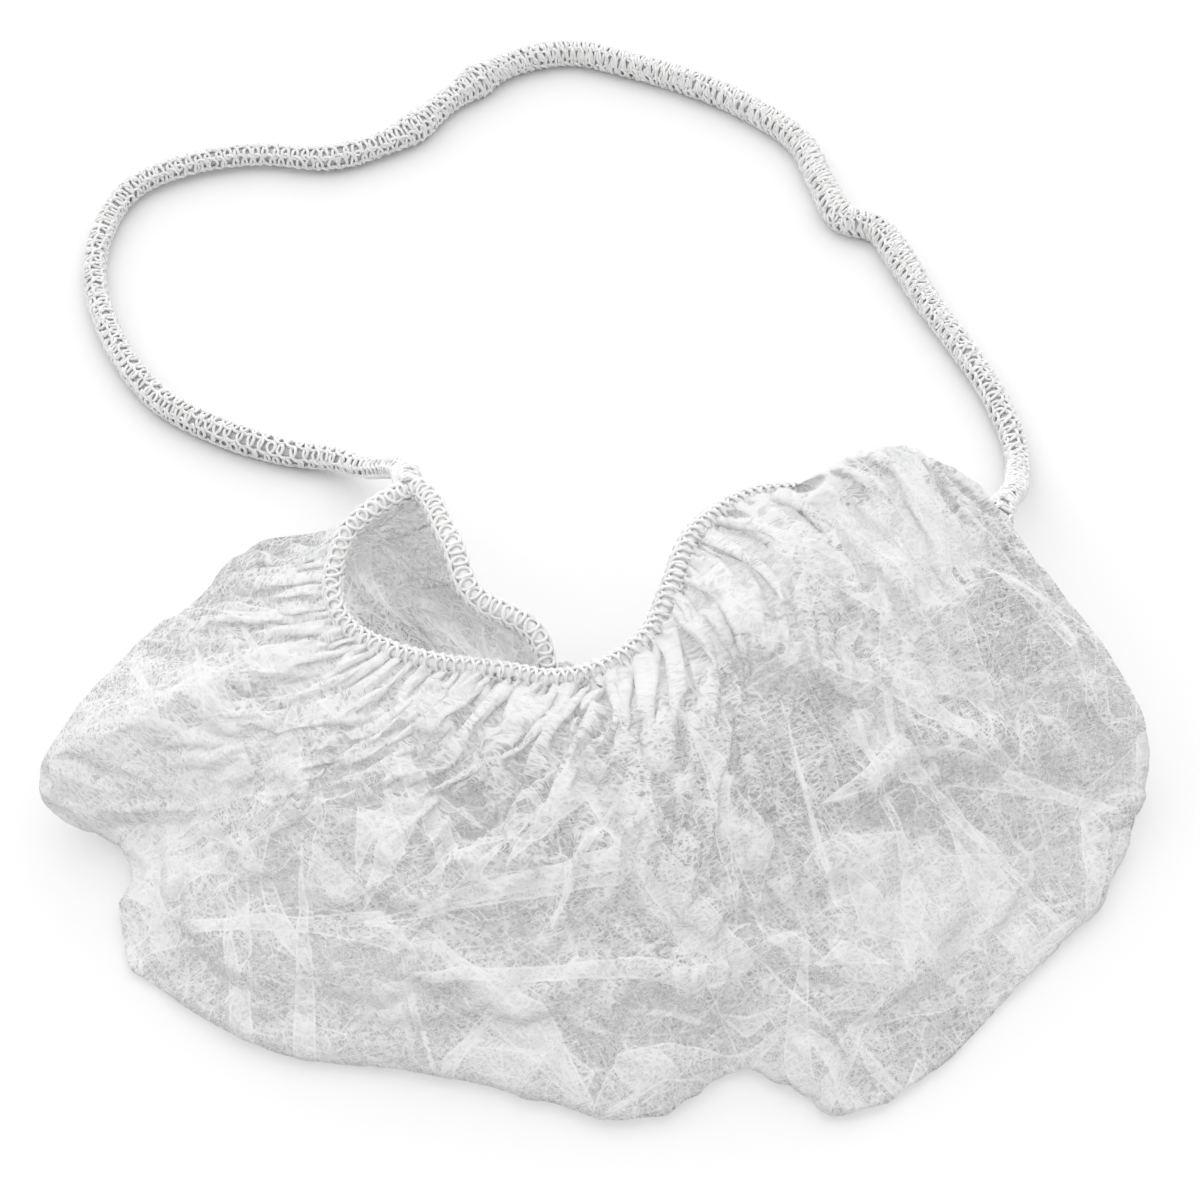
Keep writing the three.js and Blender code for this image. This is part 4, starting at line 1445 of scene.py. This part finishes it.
def settled_cloth():
    """The pouch's cloth as it lies: gathered at its edge, folded, and settled, from coarse to fine."""
    random = np.random.default_rng(11)
    grid, edge, depth = drawn_cloth(random)
    cloth = cloth_measures(grid, edge)
    below = cloth["below"]
    normals = outward_normals(grid)
    columns, rows = grid.shape[:2]
    room = np.interp(below, *ROOM_INSIDE) * MM
    swell = np.interp(below, *ROOM_OUTSIDE) * MM
    hold = np.interp(below, *HELD)
    moved = np.zeros(grid.shape)
    for stage in CLOTH_STAGES:
        step = stage["step"]
        moved = moved + gather_waves(grid, normals, random, stage["gathers"])
        moved += (stage["noise"] * MM * random.standard_normal((columns, rows)))[..., None] * normals
        moved[:, 0] *= EDGE_MOVES
        plain = coarser(grid, step)
        ties = cloth_ties(
            *plain.shape[:2], coarser(summed(cloth["around"], step, 0), step),
            coarser(summed(cloth["down"], step, 1), step), coarser(cloth["slant"], step))
        settled = relax_cloth(
            plain + coarser(moved, step), plain, coarser(normals, step), ties, coarser(room, step),
            coarser(swell, step), coarser(hold, step), stage["rounds"])
        moved = finer(settled - plain, step, columns, rows)
    cloth.update(plain=grid, places=grid + moved, depth=depth)
    cloth["bunched"] = bunching_and_shade(grid, cloth, (moved * normals).sum(2))
    return cloth


def bunching_and_shade(grid, cloth, raised):
    """How closed and white the web is drawn at each place: 0 as on average, 1 where it closes up as it
    gathers. Below 0 it is darker and more open: painted shade on the low wall behind the mouth. Painted
    light and shade also make the gathers' ridges lighter and their valleys darker.
    """
    below = cloth["below"]
    behind = behind_share(len(grid))
    inner = np.interp(np.arange(grid.shape[1]), [0, 6, UPPER_ROWS - 16, UPPER_ROWS - 6], [0, 1, 1, 0])
    bunched = np.clip((cloth["crowded"] - 1) / 2, 0, 1) * np.interp(below, *BUNCHED_CROWDED)
    bunched = np.maximum(bunched, np.interp(below, *BUNCHED_BY_EDGE))
    bunched = bunched * (1 - BEHIND["bunched"] * behind)
    # Painted shade: the low wall behind the mouth, seen from inside, is drawn darker and more open.
    bunched = bunched + inner * (density(grid) * (1 - behind) - BEHIND["dense"] * behind)
    # Painted light and shade: lighter on the gathers' ridges, darker in their valleys.
    raised = raised - smoothed_around(raised, RIDGE_SPAN)
    ridges = np.clip(raised / (RIDGE_HEIGHT * MM), -1, 1)
    return bunched + 0.5 * ridges * np.interp(below, *RIDGES_LIT_AND_SHADED)


AWAY_SPAN = 60  # columns to either side that the way out from the mouth is evened over


def cut_places(cloth, options):
    """Where each point of the cloth was in the flat oval cut."""
    around = np.linspace(0, 2 * math.pi, 721)
    half_length, half_width = options.cut_length / 2, options.cut_width / 2
    oval = np.stack([-half_length * np.cos(around), -half_width * np.sin(around)], 1)
    passed, whole = lengths_along(oval)
    marks = np.cumsum(cloth["edge_share"]) * whole
    edge = np.stack([np.interp(marks, passed, oval[:, axis]) for axis in (0, 1)], 1)
    return cloth["share"][..., None] * edge[:, None]


def laid_places(plain):
    """Where each point of the plain wall comes when the wall is smoothed out flat round the mouth."""
    away = unit((plain[:, GIRTH_ROW] - plain[:, 0])[:, :2])
    away = unit(smoothed_around(away, AWAY_SPAN))
    drop = plain[:, :1, 2] - plain[..., 2]
    under = np.interp(np.arange(plain.shape[1]), [UPPER_ROWS, UPPER_ROWS + UNDER_ROWS], [1, 0])
    slid = drop * under * (1 - BEHIND["slid"] * behind_share(len(plain)))
    return plain[..., :2] + slid[..., None] * away[:, None]


def unrolled_places(plain):
    """Where each point of the plain wall comes when the wall is cut at the right end and unrolled."""
    around, length = lengths_along(plain[:, GIRTH_ROW], closed=True)
    around = (around - around[round(len(plain) * RIGHT_END / len(SECTIONS))]) % length
    down = np.linalg.norm(np.diff(plain, axis=1, prepend=plain[:, :1]), axis=2).cumsum(1)
    return np.stack([np.repeat(around[:, None], plain.shape[1], 1), down], 2)


def store_places(obj, name, places, pole=None):
    """Writes the flat place of each point of a grid and of its pole, in metres, as a UV map. The pole
    lies in the middle of the last row unless it is given."""
    pole = places[:, -1].mean(0) if pole is None else pole
    places = np.concatenate([places.reshape(-1, 2), np.reshape(pole, (1, 2))])
    mesh = obj.data
    layer = mesh.uv_layers.new(name=name)
    corners = np.zeros(len(mesh.loops), int)
    mesh.loops.foreach_get("vertex_index", corners)
    layer.data.foreach_set("uv", places[corners].astype(np.float32).ravel())


def add_pouch(options):
    """The pouch's cloth as one sheet, closed over the middle of its base."""
    cloth = settled_cloth()
    columns, rows = cloth["share"].shape
    pole = columns * rows
    faces = [tuple(q) for q in grid_faces(columns, rows)]
    for column in range(columns):
        faces.append((column * rows + rows - 1, pole, ((column + 1) % columns) * rows + rows - 1))
    places = cloth["places"]
    points = [*places.reshape(-1, 3), places[:, -1].mean(0)]
    pouch = mesh_object("nonwoven_pouch", points, faces, nonwoven_material(options))
    store_places(pouch, "cut", cut_places(cloth, options), pole=(0, 0))
    store_places(pouch, "laid", laid_places(cloth["plain"]))
    store_places(pouch, "unrolled", unrolled_places(cloth["plain"]))
    # gather holds the bunching, the painted shade on the low wall behind the mouth, and the painted light
    # and shade of the gathers' ridges and valleys.
    gather = pouch.data.attributes.new("gather", "FLOAT", "POINT")
    gather.data.foreach_set("value", np.append(cloth["bunched"], 0).astype(np.float32))
    doubled = pouch.data.attributes.new("doubled", "FLOAT_VECTOR", "POINT")
    doubled.data.foreach_set("vector", np.append(cloth["depth"], [OUTSIDE] * 3).astype(np.float32))
    on_body("nonwoven", pouch)
    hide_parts("pouch")


class BEARDCOVER_OT_edge(bpy.types.Operator):
    """Adds the elastic edge round the mouth and its overlock stitches"""

    bl_idname = "beardcover.edge"
    bl_label = "Elastic edge"

    def execute(self, context):
        add_edge(settings().elastic)
        return {"FINISHED"}


# Round the mouth from its left end, as shares of the way: how much the stitches wrap across the edge,
# their pitch in millimetres, and how thick the edge is beside its widest.
EDGE_LOOKS = table(("at", "wrap", "pitch", "girth"), [
    (0.00, 0.2, 2.5, 1.10),
    (0.08, 0.4, 2.2, 1.05),
    (0.16, 0.8, 1.9, 1.15),
    (0.30, 1.0, 1.8, 1.25),
    (0.42, 0.8, 2.0, 1.10),
    (0.52, 0.2, 2.4, 0.95),
    (0.68, 0.3, 2.7, 1.00),
    (0.82, 0.2, 2.9, 1.10),
    (0.92, 0.6, 2.4, 1.20),
    (1.00, 0.2, 2.5, 1.10),
])
EDGE_STEPS = 480
EDGE_SIDES = 12
EDGE_TOP = (0.0, -0.55, 0.83)  # the side of the edge that the loops' middles lie on
EDGE_CORE_LESS = 1.2  # how much thinner the cloth inside the edge is, in threads
EDGE_STITCHES = {
    "Strands": 3, "points": 18, "Reach": 0.0015, "Sweep": 0.85, "Wrap Sweep": 1.1, "Start Angle": 0.0,
    "lift": 0.5, "thick": 0.48, "Wander": 0.3, "Sides": 5, "Seed": 8,
}


def add_edge(options):
    """The rolled cloth of the edge and the stitches over it, from the left end round to itself."""
    hem_material = elastic_materials(options)[1]
    grid, _ = wall_grid()
    ring = edge_line(grid)
    inward = unit(grid[:, 2] - ring)
    line = even_steps(np.concatenate([ring, ring[:1]]), EDGE_STEPS)
    along, length = lengths_along(line)
    share = along / length
    rim_along, rim_length = lengths_along(ring, closed=True)
    marks = np.append(rim_along, rim_length)
    side = np.stack([np.interp(along, marks, np.append(inward[:, k], inward[0, k])) for k in range(3)], 1)
    radius = look_at(EDGE_LOOKS, "girth", share) * options.edge_diameter / 2
    core_radius = radius - EDGE_CORE_LESS * options.thread
    edge = tube_object("edge_elastic", line, core_radius, EDGE_SIDES, hem_material, side)
    turns = loops_before(line, EDGE_LOOKS)
    top = np.tile(EDGE_TOP, (EDGE_STEPS, 1))
    path = path_object("edge path", line, top, turns, look_at(EDGE_LOOKS, "wrap", share), core_radius)
    stitches = stitch_round("edge_stitches", path, options, turns, EDGE_STITCHES)
    on_body("elastic", edge, stitches)
    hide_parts("rim_band")


class BEARDCOVER_OT_joins(bpy.types.Operator):
    """Adds the two bunches of stitches that join the strap to the mouth's ends"""

    bl_idname = "beardcover.joins"
    bl_label = "Strap joins"

    def execute(self, context):
        add_joins(settings().elastic)
        return {"FINISHED"}


JOINS = [
    {"name": "left_join", "node": "strap_join_left", "section": LEFT_END, "strap_end": 0, "seed": 21},
    {"name": "right_join", "node": "strap_join_right", "section": RIGHT_END, "strap_end": -1, "seed": 34},
]
JOIN_STEPS = 40
JOIN_GIRTH = {"ends": 0.7, "middle": 0.1}  # beside the strap's, at the ends and so much more between
JOIN_PITCH = 2.4
JOIN_WRAP = 0.4
JOIN_STITCHES = {
    "Strands": 6, "points": 14, "Reach": 0.0012, "Sweep": 0.6, "Wrap Sweep": 0.9, "Start Angle": 0.4,
    "lift": 0.6, "thick": 0.5, "Wander": 0.6, "Sides": 5,
}


def join_line(seat, strap, strap_end):
    """The middle line of a join, from its seat on the edge into the strap's end."""
    end = strap[strap_end]
    outward = unit(end - strap[1 if strap_end == 0 else -2])
    pull = np.linalg.norm(end - seat) / 3
    controls = np.array([seat, seat + (end - seat) * 0.3, end + outward * pull, end - outward * MM])
    return even_steps(curve_at(controls, np.linspace(0, 3, 5 * JOIN_STEPS), closed=False), JOIN_STEPS)


def add_joins(options):
    """The bunched stitches round a short core at both ends of the strap."""
    shaded_core_material = elastic_materials(options)[0]
    grid, _ = wall_grid()
    ring = edge_line(grid)
    strap = strap_line()
    up = np.tile(UP, (JOIN_STEPS, 1))
    for join in JOINS:
        seat = ring[round(POUCH_COLUMNS * join["section"] / len(SECTIONS))]
        line = join_line(seat, strap, join["strap_end"])
        along, length = lengths_along(line)
        swell = np.sin(math.pi * np.clip(along / length * 1.1, 0, 1))
        radius = options.strap_diameter / 2 * (JOIN_GIRTH["ends"] + JOIN_GIRTH["middle"] * swell)
        core = tube_object(join["name"] + "_core", line, radius, STRAP_SIDES, shaded_core_material, up)
        turns = along / (JOIN_PITCH * MM)
        path = path_object(join["name"] + " path", line, up, turns, JOIN_WRAP, radius)
        stitches = stitch_round(
            join["name"] + "_stitches", path, options, turns, {**JOIN_STITCHES, "Seed": join["seed"]})
        on_body("elastic", core, stitches)
        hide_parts(join["node"])


# ---- Panel and registration ----
class BEARDCOVER_PT_panel(bpy.types.Panel):
    """Lists the pieces of the beard cover and their settings"""

    bl_idname = "BEARDCOVER_PT_panel"
    bl_label = "Beard cover"
    bl_space_type = "VIEW_3D"
    bl_region_type = "UI"
    bl_category = "Beard cover"

    def draw(self, context):
        for group_name in ("stage", "elastic", "pouch"):
            group = getattr(context.scene.beard_cover, group_name)
            box = self.layout.box()
            for prop in type(group).__annotations__:
                box.prop(group, prop)
        for operator in OPERATORS:
            self.layout.operator(operator.bl_idname)


class BeardCoverSettings(bpy.types.PropertyGroup):
    """All settings of the beard cover"""

    stage: PointerProperty(type=StageSettings)
    elastic: PointerProperty(type=ElasticSettings)
    pouch: PointerProperty(type=PouchSettings)


OPERATORS = (
    BEARDCOVER_OT_stage, BEARDCOVER_OT_head_strap, BEARDCOVER_OT_pouch, BEARDCOVER_OT_edge,
    BEARDCOVER_OT_joins,
)
CLASSES = (
    StageSettings, ElasticSettings, PouchSettings, BeardCoverSettings, *OPERATORS,
    BEARDCOVER_PT_panel,
)


def register():
    for each in CLASSES:
        bpy.utils.register_class(each)
    bpy.types.Scene.beard_cover = PointerProperty(type=BeardCoverSettings)


def unregister():
    del bpy.types.Scene.beard_cover
    for each in reversed(CLASSES):
        bpy.utils.unregister_class(each)


def main():
    register()
    bpy.ops.beardcover.stage()
    bpy.ops.beardcover.head_strap()
    bpy.ops.beardcover.pouch()
    bpy.ops.beardcover.edge()
    bpy.ops.beardcover.joins()


if __name__ == "__main__":
    main()
